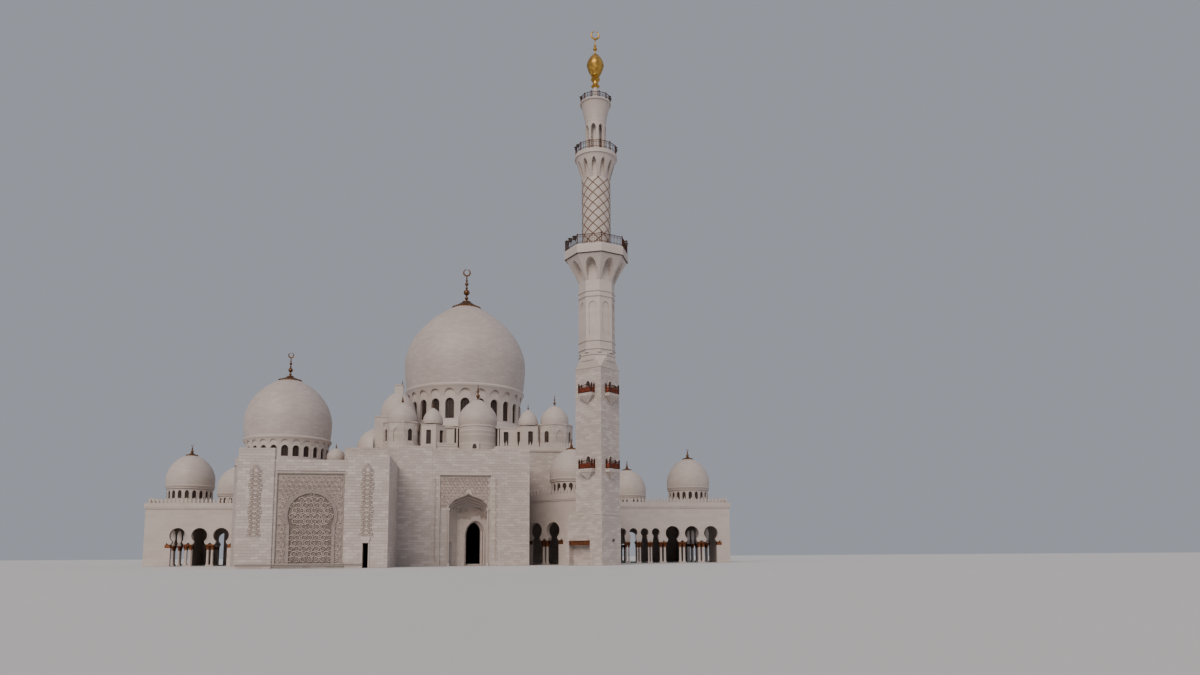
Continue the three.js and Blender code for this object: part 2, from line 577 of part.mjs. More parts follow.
function buildRoofGroup() {
  buildTurret('turret_left', GROUP.x - GROUP.turretOffset);
  buildTurret('turret_right', GROUP.x + GROUP.turretOffset);
  buildLantern('lantern_left', GROUP.lanternLeft, LANTERN.leftTurn);
  buildLantern('lantern_right', GROUP.lanternRight, LANTERN.rightTurn);
  const c = CENTRE_DOME;
  const crown = turn([[0, HIGH_ROOF + GAP], [c.drumRadius, HIGH_ROOF + GAP],
    ...domeCurve(c.radius, c.drumRadius, c.spring - 0.6, c.spring + 0.9, c.top, 7, GROUP_SLIM),
    [0, c.top]], 24);
  const bottom = HIGH_ROOF + GAP;
  const middle = move(join(crown, spike(c.top - 0.3, c.tip, 0.9)), GROUP.x - 0.4, GROUP.y);
  const w = SIDE_WALLS;
  const walls = cut(
    box(GROUP.x - w.reach, GROUP.x + w.reach, GROUP.y - w.half, GROUP.y + w.half, bottom, w.top),
    lanternBody(GROUP.lanternLeft, LANTERN.leftTurn, bottom - 1, 0.005),
    lanternBody(GROUP.lanternRight, LANTERN.rightTurn, bottom - 1, 0.005),
  );
  place('centre_dome', join(middle, walls), MARBLE);
  const railing = (left, right) => box(left, right, RAILING.y, RAILING.y + RAILING.thick,
    HIGH_ROOF + GAP, RAILING.top);
  place('roof_railing', railing(RAILING.left, RAILING.right), MARBLE);
  place('roof_railing_left', railing(LEFT_RAILING.left, LEFT_RAILING.right), MARBLE);
}

// A dome on a square base with a pillar on it, and a half dome leaning on a plain block to its right.
function roofDome(dome) {
  const curve = domeCurve(dome.radius, dome.radius, dome.spring, dome.spring + 0.4, dome.top, 6);
  const bottom = HIGH_ROOF + GAP;
  return turn([[0, bottom], [dome.radius, bottom], ...curve, [0, dome.top]], 24);
}

function buildHalfDomes() {
  const upper = UPPER_HALF_DOME;
  const bottom = HIGH_ROOF + GAP;
  const base = box(-UPPER_BASE.left, UPPER_BASE.right, -UPPER_BASE.half, UPPER_BASE.half,
    bottom, UPPER_BASE.top);
  const pillar = box(-UPPER_PILLAR.left, UPPER_PILLAR.right, -UPPER_PILLAR.half, UPPER_PILLAR.half,
    upper.top - 1.5, UPPER_PILLAR.top);
  place('half_dome_upper', move(join(roofDome(upper), base, pillar), upper.x, upper.y), MARBLE);

  const lower = LOWER_HALF_DOME;
  const reach = lower.radius + 1;
  const left = roofDome(lower).intersect(box(-reach, 0, -reach, reach, bottom - 1, lower.top + 1));
  const block = box(-OVERLAP, LOWER_BLOCK.width, -LOWER_BLOCK.half, LOWER_BLOCK.half,
    bottom, LOWER_BLOCK.top);
  place('half_dome_lower', move(join(left, block), lower.x, lower.y), MARBLE);
}

// Arcades: a wall above capitals on paired columns, with piers at both ends.
function arcadeBody({ length, thick, runs, top, columnSides = 6 }) {
  const foot = WIDE_ARCH.foot;
  const leftPier = runs[0].centres[0] - runs[0].arch.half;
  const rightPier = runs.at(-1).centres.at(-1) + runs.at(-1).arch.half;
  let wall = box(0, length, 0, thick, foot - 0.01, top);
  const cornice = box(0, length, -CORNICE_REACH, thick, CORNICE_TOP - 1.0, CORNICE_TOP - 0.2);
  wall = join(wall, cornice, box(0, leftPier, 0, thick, 0, foot), box(rightPier, length, 0, thick, 0, foot));
  for (const { arch, centres } of runs) {
    for (const x of centres) {
      wall = cut(wall, push(horseshoe(x, arch, foot - 1), -1, thick + 1));
    }
  }
  const supports = [];
  for (const { arch, centres } of runs) {
    for (let i = 1; i < centres.length; i += 1) {
      supports.push({ x: (centres[i - 1] + centres[i]) / 2, gap: arch.pitch - 2 * arch.half });
    }
  }
  for (let i = 1; i < runs.length; i += 1) {
    const before = runs[i - 1].centres.at(-1) + runs[i - 1].arch.half;
    const after = runs[i].centres[0] - runs[i].arch.half;
    supports.push({ x: (before + after) / 2, gap: after - before });
  }
  for (const { x, gap } of supports) {
    const half = Math.min(gap / 2, 0.95) - 0.02;
    const shaft = Math.min(0.34, half * 0.45);
    const offset = half - shaft - 0.02;
    const neck = half * 0.72;
    const capital = push([
      [x - half, foot + OVERLAP], [x - neck, CAPITAL_FOOT], [x + neck, CAPITAL_FOOT],
      [x + half, foot + OVERLAP],
    ], 0.02, thick - 0.02);
    wall = join(wall, capital, box(x - half * 0.8, x + half * 0.8, 0.05, thick - 0.05, 0, 0.4));
    for (const side of [-1, 1]) {
      const column = raise(regular(columnSides, shaft * 1.9), 0.35, CAPITAL_FOOT + 0.05);
      wall = join(wall, move(column, x + side * offset * 0.72, thick / 2));
    }
  }
  return wall;
}

function buildWing(side, wing, front) {
  const depth = wing.back - wing.front;
  const width = wing.right - wing.left - GAP;
  const sideLength = depth - WING_WALL - GAP - OVERLAP;
  const sideWall = spin(arcadeBody({
    length: sideLength, thick: WING_WALL, top: CORNICE_TOP, columnSides: 4,
    runs: [{ arch: WIDE_ARCH, centres: evenly(sideLength, SIDE_ARCH_COUNT) }],
  }), side.outer === 'left' ? -90 : 90);
  const backWall = spin(arcadeBody({
    length: width, thick: WING_WALL, top: CORNICE_TOP, columnSides: 4,
    runs: [{ arch: WIDE_ARCH, centres: evenly(width, BACK_ARCH_COUNT) }],
  }), 180);
  const x0 = side.outer === 'left' ? wing.left : wing.left + GAP;
  place(`${side.name}_front`, move(arcadeBody({
    length: width, thick: WING_WALL, top: CORNICE_TOP, runs: front,
  }), x0, wing.front), MARBLE);
  const sidePlace = side.outer === 'left'
    ? move(sideWall, wing.left, wing.back - OVERLAP)
    : move(sideWall, wing.right, wing.front + WING_WALL + GAP);
  place(`${side.name}_outer_walls`, join(sidePlace, move(backWall, x0 + width, wing.back)), MARBLE);
  const inner = WING_WALL + GAP;
  const roofLeft = side.outer === 'left' ? wing.left + inner : wing.left + GAP;
  const roofRight = side.outer === 'left' ? wing.right - GAP : wing.right - inner;
  place(`${side.name}_roof`, box(roofLeft, roofRight, wing.front + inner, wing.back - inner,
    WING_ROOF, WING_ROOF + 0.5), ROOFING);
}

// Arch centres for a plain run of equal arches in the middle of a wall.
function evenly(length, count) {
  const start = (length - (count - 1) * WIDE_ARCH.pitch) / 2;
  return Array.from({ length: count }, (_, i) => start + i * WIDE_ARCH.pitch);
}

// The domes on the arcade roofs. size shrinks one evenly about the roof that it stands on.
function buildArcadeDome({ name, x, y, size = 1 }) {
  const roof = WING_ROOF + 0.5;
  const up = (z) => roof + (z - roof) * size;
  const d = ARCADE_DOME;
  const w = ARCADE_WINDOW;
  const radius = d.radius * size;
  const drumRadius = d.drumRadius * size;
  const wall = d.wall * size;
  const spring = up(d.spring);
  const top = up(d.top);
  const bottom = roof + GAP;
  const drumTop = up(d.spring - 0.8);
  const inside = drumRadius - wall;
  const swell = up(d.spring + 1.5);
  const outer = domeCurve(radius, radius - 0.05, spring - 0.3, swell, top, 5, d.slim).slice(1);
  const inner = domeCurve(inside + 0.3, inside, drumTop, swell, top - 0.5, 3, d.slim).slice(1);
  const shell = turn([
    [0, top], ...outer.reverse(), [radius, drumTop + 0.3], [drumRadius, drumTop],
    [drumRadius, bottom], [inside, bottom], ...inner, [0, top - 0.5],
  ], d.windows);
  const window = { half: w.half * size, sill: up(w.sill), spring: up(w.spring), top: up(w.top) };
  const windows = ringWindows(d.windows, window, drumRadius, wall, 1);
  const tip = spike(top - 0.15, up(d.tip), 0.62 * size);
  place(name, move(join(cut(shell, ...windows), tip), x, y), MARBLE);
}

function buildLink() {
  const front = arcadeBody({
    length: LINK.length + LINK.bury, thick: LINK.thick, top: CORNICE_TOP,
    runs: [{ arch: WIDE_ARCH, centres: LINK_ARCHES.map((x) => x + LINK.bury) }],
  });
  const portalSide = box(LINK.x - 9, LINK.x, LINK.y - 9, LINK.y + 9, -1, CORNICE_TOP + 1);
  place('link_front', cut(move(spin(move(front, -LINK.bury, 0), -45), LINK.x, LINK.y), portalSide), MARBLE);
  const slope = Math.SQRT1_2;
  const endX = LINK.x + LINK.length * slope;
  const endY = LINK.y - LINK.length * slope;
  const reach = LINK.right - endX;
  const t = LINK.thick;
  const wallBack = RIGHT_WING.front - CORNICE_REACH - GAP;
  const nearX = endX + (t + GAP) * slope;
  const nearY = endY + (t + GAP) * slope;
  place('link_side', raise([
    [nearX, nearY], [LINK.right, nearY + LINK.right - nearX], [LINK.right, wallBack],
    [LINK.right - t, wallBack], [LINK.right - t, nearY + LINK.right - nearX + t * 0.41],
    [nearX - t * slope, nearY + t * slope],
  ], 0, CORNICE_TOP), MARBLE);
  const inset = (t + 2 * GAP) * Math.SQRT2;
  place('link_roof', raise([
    [LINK.x + 0.03, LINK.y + inset], [endX - t * 0.5, endY + inset + t * 0.5],
    [LINK.right - t - GAP, endY + reach + t + 0.5], [LINK.right - t - GAP, wallBack],
    [HALL.right + GAP, wallBack], [HALL.right + GAP, HALL_FRONT - GAP], [LINK.x + 0.03, HALL_FRONT - GAP],
  ], WING_ROOF, WING_ROOF + 0.5), ROOFING);
  buildArcadeDome(LINK_DOME);
}

// Minaret, built on its own axis with its faces along X and Y
const atMinaret = (body) => move(spin(body, -45), MINARET.x, MINARET.y);
const bore = (radius, z0, z1) => turn([[0, z0 - 1], [radius, z0 - 1], [radius, z1 + 1], [0, z1 + 1]], 16);

function pipe(inside, outside, z0, z1, segments) {
  return turn([[inside, z0], [outside, z0], [outside, z1], [inside, z1], [inside, z0]], segments);
}

function buildMinaretShafts() {
  const half = MINARET.side / 2;
  const wide = half + BASE.grow;
  const a = ANNEX;
  const linkFace = (LINK.x + LINK.y - MINARET.x - MINARET.y) * Math.SQRT1_2;
  const annex = push([
    [-wide - a.reach, 0], [-wide + OVERLAP, 0], [-wide + OVERLAP, BASE.top - 0.3],
    [-wide - a.reachTop, BASE.top - 0.3],
  ], -wide + OVERLAP, linkFace - GAP);
  const passage = box(-wide - a.passageLeft, -wide + a.passageRight, -wide - 1, -wide + a.passageDepth,
    -1, a.lintel);
  const block = join(box(-wide, wide, -wide, wide, 0, BASE.top), annex);
  place('minaret_base', atMinaret(cut(block, passage, bore(BASE.bore, 0, BASE.top))), ASHLAR);

  const bottom = BASE.top + GAP;
  let shaft = box(-half, half, -half, half, bottom, SQUARE_TOP);
  const w = BALCONY.width / 2;
  for (const tip of BALCONY_LEVELS) {
    const slabBottom = tip + BALCONY.corbel;
    const floor = slabBottom + BALCONY.slab;
    const out = half + BALCONY.reach;
    const wedge = push([[-w, slabBottom + OVERLAP], [0, tip], [w, slabBottom + OVERLAP]], -out - 1, 0);
    const lean = spin(push([
      [half, tip - 0.2], [half, slabBottom + OVERLAP], [out, slabBottom + OVERLAP],
    ], -w - 1, w + 1), -90);
    const corbel = wedge.intersect(lean);
    const slab = box(-w - 0.1, w + 0.1, -out, -half + 0.1, slabBottom, floor);
    for (let i = 0; i < 4; i += 1) {
      shaft = join(shaft, spin(corbel, i * 90), spin(slab, i * 90));
    }
  }
  for (const tip of BALCONY_LEVELS) {
    const floor = tip + BALCONY.corbel + BALCONY.slab;
    const door = push(pointedArch(0, BALCONY_DOOR.half, floor + 0.01, floor + BALCONY_DOOR.spring,
      floor + BALCONY_DOOR.top, 2), -half - 0.5, -1);
    for (let i = 0; i < 4; i += 1) {
      shaft = cut(shaft, spin(door, i * 90));
    }
  }
  place('minaret_square_shaft', atMinaret(cut(shaft, bore(MINARET.bore, bottom, SQUARE_TOP))), ASHLAR);

  const foot = SQUARE_TOP + GAP;
  const broach = spin(turn([[0, foot], [half * Math.SQRT2, foot], [half * 1.1, OCTAGON.broachTop],
    [0, OCTAGON.broachTop]], 4), 45);
  const upper = spin(raise(regular(8, OCTAGON.flat), OCTAGON.turned, OCTAGON.top), 22.5);
  let octagon = join(raise(regular(8, OCTAGON.flat), foot, OCTAGON.turned + OVERLAP), broach, upper);
  const panel = push(pointedArch(0, PANELS.half, PANELS.bottom, PANELS.spring, PANELS.top, 2),
    -OCTAGON.flat / 2 - 1, -OCTAGON.flat / 2 + PANELS.depth);
  for (let i = 0; i < 8; i += 1) {
    octagon = cut(octagon, spin(panel, (i + 0.5) * 45));
  }
  place('minaret_octagon_shaft', atMinaret(cut(octagon, bore(MINARET.bore, foot, OCTAGON.top))), MARBLE);

  const lattice = pipe(MINARET.bore, LATTICE.radius, LATTICE.bottom + GAP, LATTICE.top, 16);
  place('minaret_lattice_shaft', atMinaret(lattice), MARBLE);
  const s = ARCH_STAGE;
  const stage = pipe(s.radius - s.wall, s.radius, GALLERY_2.floor + GAP, s.top, 16);
  const opening = { half: 0.5, sill: GALLERY_2.floor + 1.3, spring: s.top - 1.6, top: s.top - 0.7 };
  const openings = ringWindows(s.openings, opening, s.radius, s.wall);
  place('minaret_arched_stage', atMinaret(cut(stage, ...openings)), MARBLE);
}

function buildGalleries() {
  const hole = MINARET.bore;
  const corner = 1 / Math.cos(Math.PI / 8);
  const narrow = (OCTAGON.flat / 2) * corner;
  const wide = (GALLERY_1.flat / 2) * corner;
  const rise = GALLERY_1.corbelTop - OCTAGON.top;
  const z0 = OCTAGON.top + GAP;
  const first = turn([
    [hole, z0], [narrow, z0], [narrow, z0 + rise * 0.12], [narrow + 0.75, z0 + rise * 0.42],
    [narrow + 1.6, z0 + rise * 0.73], [wide - 0.3, GALLERY_1.corbelTop],
    [wide, GALLERY_1.corbelTop], [wide, GALLERY_1.floor],
    [hole, GALLERY_1.floor], [hole, z0],
  ], 8);
  place('minaret_gallery_1', atMinaret(first), MARBLE);
  const fence = (radius, floor, top, sides) => pipe(radius - RAIL_THICK, radius, floor + GAP, top, sides);
  place('minaret_railing_1', atMinaret(fence(wide - 0.1, GALLERY_1.floor, GALLERY_1.rail, 8)), BRONZE);

  const r2 = GALLERY_2.radius;
  const z2 = LATTICE.top + GAP;
  const lift = GALLERY_2.corbelTop - LATTICE.top;
  const second = turn([
    [hole, z2], [LATTICE.radius, z2], [LATTICE.radius + 0.4, z2 + lift * 0.4],
    [LATTICE.radius + 0.9, z2 + lift * 0.75], [r2 - 0.2, GALLERY_2.corbelTop], [r2, GALLERY_2.corbelTop],
    [r2, GALLERY_2.floor], [hole - 0.4, GALLERY_2.floor], [hole - 0.4, z2 + 1], [hole, z2],
  ], 16);
  place('minaret_gallery_2', atMinaret(second), MARBLE);
  place('minaret_railing_2', atMinaret(fence(r2 - 0.08, GALLERY_2.floor, GALLERY_2.rail, 16)), BRONZE);

  const r3 = GALLERY_3.radius;
  const z3 = ARCH_STAGE.top + GAP;
  const third = turn([
    [0, z3], [ARCH_STAGE.radius + 0.2, z3], [ARCH_STAGE.radius + 0.25, z3 + 1.6],
    [r3 - 0.3, GALLERY_3.corbelTop], [r3, GALLERY_3.corbelTop], [r3, GALLERY_3.floor], [0, GALLERY_3.floor],
  ], 16);
  const s = STEM;
  const z = GALLERY_3.floor - OVERLAP;
  const stem = turn([
    [0, z], [1.2, z], [1.0, z + 0.9], [s.radius, z + 1.4], [s.radius, s.top - 2.2], [0.85, s.top - 1.9],
    [s.radius, s.top - 1.6], [s.radius, s.top - 0.9], [0.95, s.top - 0.5], [0.5, s.top], [0, s.top],
  ], 12);
  place('minaret_gallery_3', atMinaret(join(third, stem)), MARBLE);
  place('minaret_railing_3', atMinaret(fence(r3 - 0.06, GALLERY_3.floor, GALLERY_3.rail, 16)), BRONZE);
}

function buildMinaretTop() {
  const b = BULB;
  const h = b.top - b.bottom;
  const bulb = turn([
    [0, b.bottom + GAP], [0.5, b.bottom + GAP], [b.radius * 0.8, b.bottom + h * 0.16],
    [b.radius, b.bottom + h * 0.38], [b.radius * 0.93, b.bottom + h * 0.56],
    [b.radius * 0.6, b.bottom + h * 0.76], [b.radius * 0.2, b.bottom + h * 0.94], [0.2, b.top],
    [0.2, b.top + 0.5], [0.45, b.top + 0.95], [0.2, b.top + 1.4],
    [0.12, MINARET_TIP - 1.6], [0, MINARET_TIP - 1.6],
  ], 16);
  const moon = crescent(MINARET_MOON, MINARET_TIP - MINARET_MOON, 0.3);
  place('minaret_finial', move(join(bulb, moon), MINARET.x, MINARET.y), GOLD);
}

buildPanelBlock();
buildPortalBlock();
buildHall();
buildRearBlock();
buildMainDome();
buildLeftDome();
buildRoofGroup();
buildHalfDomes();
buildWing({ name: 'left_wing', outer: 'left' }, LEFT_WING,
  [{ arch: WIDE_ARCH, centres: LEFT_WING_ARCHES }]);
buildWing({ name: 'right_wing', outer: 'right' }, RIGHT_WING,
  [{ arch: NARROW_ARCH, centres: RIGHT_WING_NARROW }, { arch: WIDE_ARCH, centres: RIGHT_WING_WIDE }]);
DOMES.forEach(buildArcadeDome);
buildLink();
buildMinaretShafts();
buildGalleries();
buildMinaretTop();

// The footprint's centre goes to the origin, and metres of building become millimetres of model.
const group = new THREE.Group();
site.position.set(-FOOTPRINT_CENTRE.x, -FOOTPRINT_CENTRE.y, 0);
group.add(site);
group.scale.setScalar(MODEL_MM_PER_METRE);

export default group;
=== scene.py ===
"""Looks of the mosque building, a 1:10 scale model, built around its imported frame.

All sizes are in metres of the full-size building, in a plan that starts beside the main dome's axis: X
along the front, Y away from the viewer, Z up. Shape.build turns them into the frame's metres. A place is a
function that takes a wall's own (along, depth, z) to that plan, with depth going into the wall.
"""

from math import acos, atan, atan2, cos, hypot, pi, radians, sin, sqrt, tan

import bmesh
import bpy
from mathutils import Matrix, Vector


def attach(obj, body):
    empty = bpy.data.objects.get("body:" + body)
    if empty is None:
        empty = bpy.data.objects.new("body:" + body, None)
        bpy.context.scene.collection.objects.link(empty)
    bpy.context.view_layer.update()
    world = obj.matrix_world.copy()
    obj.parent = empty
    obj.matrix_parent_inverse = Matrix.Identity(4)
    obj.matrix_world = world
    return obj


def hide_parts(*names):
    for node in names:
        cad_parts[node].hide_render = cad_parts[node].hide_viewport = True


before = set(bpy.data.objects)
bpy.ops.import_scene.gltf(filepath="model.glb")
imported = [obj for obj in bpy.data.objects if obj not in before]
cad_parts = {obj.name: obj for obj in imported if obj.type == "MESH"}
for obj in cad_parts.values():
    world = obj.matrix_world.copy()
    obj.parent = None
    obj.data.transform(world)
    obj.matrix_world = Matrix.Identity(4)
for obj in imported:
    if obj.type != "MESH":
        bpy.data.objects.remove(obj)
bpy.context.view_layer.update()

SCALE = 0.1
CENTRE = (-4.5, -29.2)
TURN = 2 * pi

# Camera, as fitted to the photograph. The horizon's drop is measured from the lens's own axis.
PHOTO_WIDTH_PX = 1200
FOCAL_PX = 850
HORIZON_DROP_PX = 106
SENSOR_WIDTH = 36.0
EYE = (0.0, -234.9, 1.7)
LOOK_TURN = radians(9.0)
LOOK_UP = atan(HORIZON_DROP_PX / FOCAL_PX)
ROLL = -0.0067
LENS = SENSOR_WIDTH * FOCAL_PX / PHOTO_WIDTH_PX
SHIFT_Y = 0.09375

# Heights and plans shared with the frame
HIGH_ROOF = 25.4
LOW_ROOF = 20.4
WING_ROOF = 13.4
CORNICE_TOP = 14.2
ARCH_FOOT = 5.0
ARCADE_WALL = 0.9
ARCADE_DOMES = {
    "dome_left_front": (-65.2, -19.0),
    "dome_left_rear": (-60.4, 6.0),
    "dome_right_front": (56.4, -23.1),
    "dome_right_rear": (46.0, 5.9),
    "dome_link": (22.6, -52.5),
}
LEFT_WING = {"left": -71.8, "right": -49.5, "front": -28.0, "back": 14.0}
RIGHT_WING = {"left": 24.6, "right": 62.8, "front": -37.0, "back": 14.0}
LINK = {"x": 12.203, "y": -54.9, "length": 19.8}
MINARET_AXIS = (24.6, -76.8)
MAIN_AXIS = (-0.5, 0.0)
LEFT_AXIS = (-39.2, -39.3)
SIDE_DOME = (-17.4, -14.0)
SIDE_FINIAL = (-16.5, -14.0)
HALF_DOME = (-20.7, -36.0)
SMALL_DOME = (-28.2, -43.1)


# Places
def in_frame(point):
    return ((point[0] - CENTRE[0]) * SCALE, (point[1] - CENTRE[1]) * SCALE, point[2] * SCALE)


def linked(name, data):
    """A new object in the scene."""
    made = bpy.data.objects.new(name, data)
    bpy.context.scene.collection.objects.link(made)
    return made


def placed(x, y, degrees=0.0):
    """A wall that starts at x, y and is turned about the vertical."""
    c, s = cos(radians(degrees)), sin(radians(degrees))
    return lambda p: (x + p[0] * c - p[1] * s, y + p[0] * s + p[1] * c, p[2])


def wall_at(y):
    return lambda p: (p[0], y + p[1], p[2])


def wrapped(radius, axis, start):
    """A wall bent round an axis, from an angle in radians."""
    def place(p):
        angle = start + p[0] / radius
        reach = radius - p[1]
        return (axis[0] + reach * sin(angle), axis[1] - reach * cos(angle), p[2])
    return place


def faceted(apothem, degrees, axis):
    """One flat side of a many-sided tower."""
    x, y = axis
    c, s = cos(radians(degrees)), sin(radians(degrees))
    return lambda p: (x + (apothem - p[1]) * s + p[0] * c, y - (apothem - p[1]) * c + p[0] * s, p[2])


class Shape:
    """The vertices and faces of one piece, and the upright axis of its round parts."""

    def __init__(self, axis=(0.0, 0.0)):
        self.axis = axis
        self.verts = []
        self.faces = []

    def add(self, verts, faces, place=None):
        start = len(self.verts)
        self.verts += [place(v) if place else tuple(v) for v in verts]
        self.faces += [[start + i for i in face] for face in faces]

    def grid(self, rows, wrap=False, place=None):
        wide = len(rows[0])
        faces = []
        for i in range(len(rows) - 1):
            for j in range(wide if wrap else wide - 1):
                k = (j + 1) % wide
                faces.append([i * wide + j, i * wide + k, (i + 1) * wide + k, (i + 1) * wide + j])
        self.add([p for row in rows for p in row], faces, place)

    def turn(self, profile, segments=64, ripple=None, place=None, start=0.5, axis=None):
        """A profile of (radius, z) turned round the axis, with its first corner start sides along.
        ripple(angle, z) scales the radius."""
        x, y = axis or self.axis
        angles = [TURN * (i + start) / segments for i in range(segments)]
        rows = []
        for radius, z in profile:
            reaches = [radius * (ripple(a, z) if ripple else 1.0) for a in angles]
            rows.append([(x + reach * cos(a), y + reach * sin(a), z) for a, reach in zip(angles, reaches)])
        self.grid(rows, True, place)

    def box(self, x0, x1, y0, y1, z0, z1, place=None):
        corners = [(x, y, z) for z in (z0, z1) for y in (y0, y1) for x in (x0, x1)]
        sides = [(0, 2, 3, 1), (4, 5, 7, 6), (0, 1, 5, 4), (2, 6, 7, 3), (0, 4, 6, 2), (1, 3, 7, 5)]
        self.add(corners, sides, place)

    def prism(self, outline, d0, d1, place=None):
        """An upright outline of (along, z) pushed from depth d0 to d1."""
        n = len(outline)
        faces = [list(range(n)), list(range(2 * n - 1, n - 1, -1))]
        faces += [[i, (i + 1) % n, (i + 1) % n + n, i + n] for i in range(n)]
        self.add([(u, d, z) for d in (d0, d1) for u, z in outline], faces, place)

    def tube(self, path, radius, sides=6, place=None, flat=1.0):
        """A round bar along a path. radius is one for all points or a list, and flat squashes it along Y."""
        rows = []
        last = len(path) - 1
        for i, point in enumerate(path):
            along = (Vector(path[min(i + 1, last)]) - Vector(path[max(i - 1, 0)])).normalized()
            side = along.cross(Vector((0.0, 1.0, 0.0)))
            if side.length < 0.01:
                side = along.cross(Vector((1.0, 0.0, 0.0)))
            side.normalize()
            other = along.cross(side)
            thick = radius[i] if isinstance(radius, list) else radius
            row = []
            for k in range(sides):
                angle = TURN * k / sides
                offset = side * cos(angle) * thick + other * sin(angle) * thick * flat
                row.append(tuple(Vector(point) + offset))
            rows.append(row)
        self.grid(rows, True, place)
        for row in (rows[0], rows[-1]):
            self.add(row, [list(range(sides))], place)

    def build(self, name, material, slot, centre=None, smooth=32.0, replaces=None):
        """Makes the piece. Its own coordinates start from centre, a point or a height on the axis."""
        if isinstance(centre, float):
            centre = (*self.axis, centre)
        origin = Vector(in_frame(centre)) if centre else Vector()
        mesh = bpy.data.meshes.new(name)
        mesh.from_pydata([tuple(Vector(in_frame(v)) - origin) for v in self.verts], [], self.faces)
        work = bmesh.new()
        work.from_mesh(mesh)
        bmesh.ops.remove_doubles(work, verts=work.verts, dist=2e-5)
        bmesh.ops.dissolve_degenerate(work, edges=work.edges, dist=1e-5)
        bmesh.ops.recalc_face_normals(work, faces=work.faces)
        work.to_mesh(mesh)
        work.free()
        for polygon in mesh.polygons:
            polygon.use_smooth = True
        mesh.set_sharp_from_angle(angle=radians(smooth))
        mesh.materials.append(material)
        piece = linked(name, mesh)
        piece.location = origin
        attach(piece, "root")
        if replaces:
            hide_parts(replaces)


# Materials
class Finish:
    """A material and short ways to add its nodes."""

    def __init__(self, name, roughness, metallic=0.0):
        self.material = bpy.data.materials.new(name)
        self.material.use_nodes = True
        self.tree = self.material.node_tree
        self.sockets = self.tree.nodes["Principled BSDF"].inputs
        self.sockets["Roughness"].default_value = roughness
        self.sockets["Metallic"].default_value = metallic
        self.point = self.node("ShaderNodeTexCoord").outputs["Object"]

    def put(self, socket, value):
        if isinstance(value, bpy.types.NodeSocket):
            self.tree.links.new(value, socket)
        else:
            socket.default_value = value

    def node(self, kind, inputs=(), **settings):
        made = self.tree.nodes.new(kind)
        for key, value in settings.items():
            setattr(made, key, value)
        for key, value in dict(inputs).items():
            self.put(made.inputs[key], value)
        return made

    def maths(self, operation, *values):
        return self.node("ShaderNodeMath", enumerate(values), operation=operation).outputs[0]

    def mix(self, share, first, second):
        return self.node("ShaderNodeMix", {0: share, 6: first, 7: second}, data_type="RGBA").outputs[2]

    def noise(self, scale, detail=4.0, roughness=0.55):
        inputs = {"Vector": self.point, "Scale": scale, "Detail": detail, "Roughness": roughness}
        return self.node("ShaderNodeTexNoise", inputs).outputs["Fac"]

    def ramp(self, value, low, high):
        return self.node("ShaderNodeMapRange", {"Value": value, "From Min": low, "From Max": high}).outputs[0]

    def bump(self, height, distance, strength=1.0):
        inputs = {"Height": height, "Distance": distance, "Strength": strength}
        self.put(self.sockets["Normal"], self.node("ShaderNodeBump", inputs).outputs[0])

    def courses(self, kind):
        """A flat map of the stones: walls by their own direction, domes by longitude and latitude."""
        if kind == "flat":
            return self.point
        x, y, z = self.node("ShaderNodeSeparateXYZ", {0: self.point}).outputs
        if kind == "wall":
            normal = self.node("ShaderNodeNewGeometry").outputs["True Normal"]
            vector = "ShaderNodeVectorMath"
            level = self.node(vector, {0: (0.0, 0.0, 1.0), 1: normal}, operation="CROSS_PRODUCT").outputs[0]
            along = self.node(vector, {0: self.point, 1: level}, operation="DOT_PRODUCT").outputs["Value"]
            return self.node("ShaderNodeCombineXYZ", {"X": along, "Y": z}).outputs[0]
        radius = kind
        squares = [self.maths("MULTIPLY", side, side) for side in (x, y)]
        flat = self.maths("SQRT", self.maths("ADD", *squares))
        around = self.maths("MULTIPLY", self.maths("ARCTAN2", y, x), radius)
        up = self.maths("MULTIPLY", self.maths("ARCTAN2", z, flat), radius)
        return self.node("ShaderNodeCombineXYZ", {"X": around, "Y": up}).outputs[0]


def stone(name, kind, main, odd, joint, row, block, roughness=0.5, gap=0.0011, depth=0.0016):
    """Coursed stone: blocks of one tone with odd ones among them, fine joints, veins and a little soiling."""
    f = Finish(name, roughness)
    bricks = f.node("ShaderNodeTexBrick", {
        "Vector": f.courses(kind), "Color1": main, "Color2": odd, "Mortar": joint, "Scale": 1.0,
        "Mortar Size": gap, "Mortar Smooth": 0.2, "Bias": -0.3, "Brick Width": block, "Row Height": row,
    }, offset=0.5)
    cloud = f.ramp(f.noise(1.3), 0.4, 0.75)
    veins = f.ramp(f.noise(16.0, 8.0, 0.7), 0.54, 0.7)
    soiled = f.mix(f.maths("MULTIPLY", cloud, 0.22), bricks.outputs["Color"], joint)
    f.put(f.sockets["Base Color"], f.mix(f.maths("MULTIPLY", veins, 0.12), soiled, joint))
    grain = f.maths("MULTIPLY", f.noise(90.0, 3.0), 0.25)
    f.bump(f.maths("SUBTRACT", grain, bricks.outputs["Fac"]), depth)
    f.put(f.sockets["Roughness"], f.maths("MULTIPLY_ADD", f.noise(12.0), 0.3, roughness - 0.12))
    return f.material


def metal(name, bright, deep, roughness, scale=14.0):
    """Gilded or bronzed metal with uneven tone and a fine hammered surface."""
    f = Finish(name, roughness, 0.85)
    f.put(f.sockets["Base Color"], f.mix(f.ramp(f.noise(scale, 5.0, 0.6), 0.35, 0.7), bright, deep))
    f.put(f.sockets["Roughness"], f.maths("MULTIPLY_ADD", f.noise(scale * 3), 0.3, roughness - 0.1))
    f.bump(f.noise(scale * 5, 3.0), 0.001, 0.5)
    return f.material


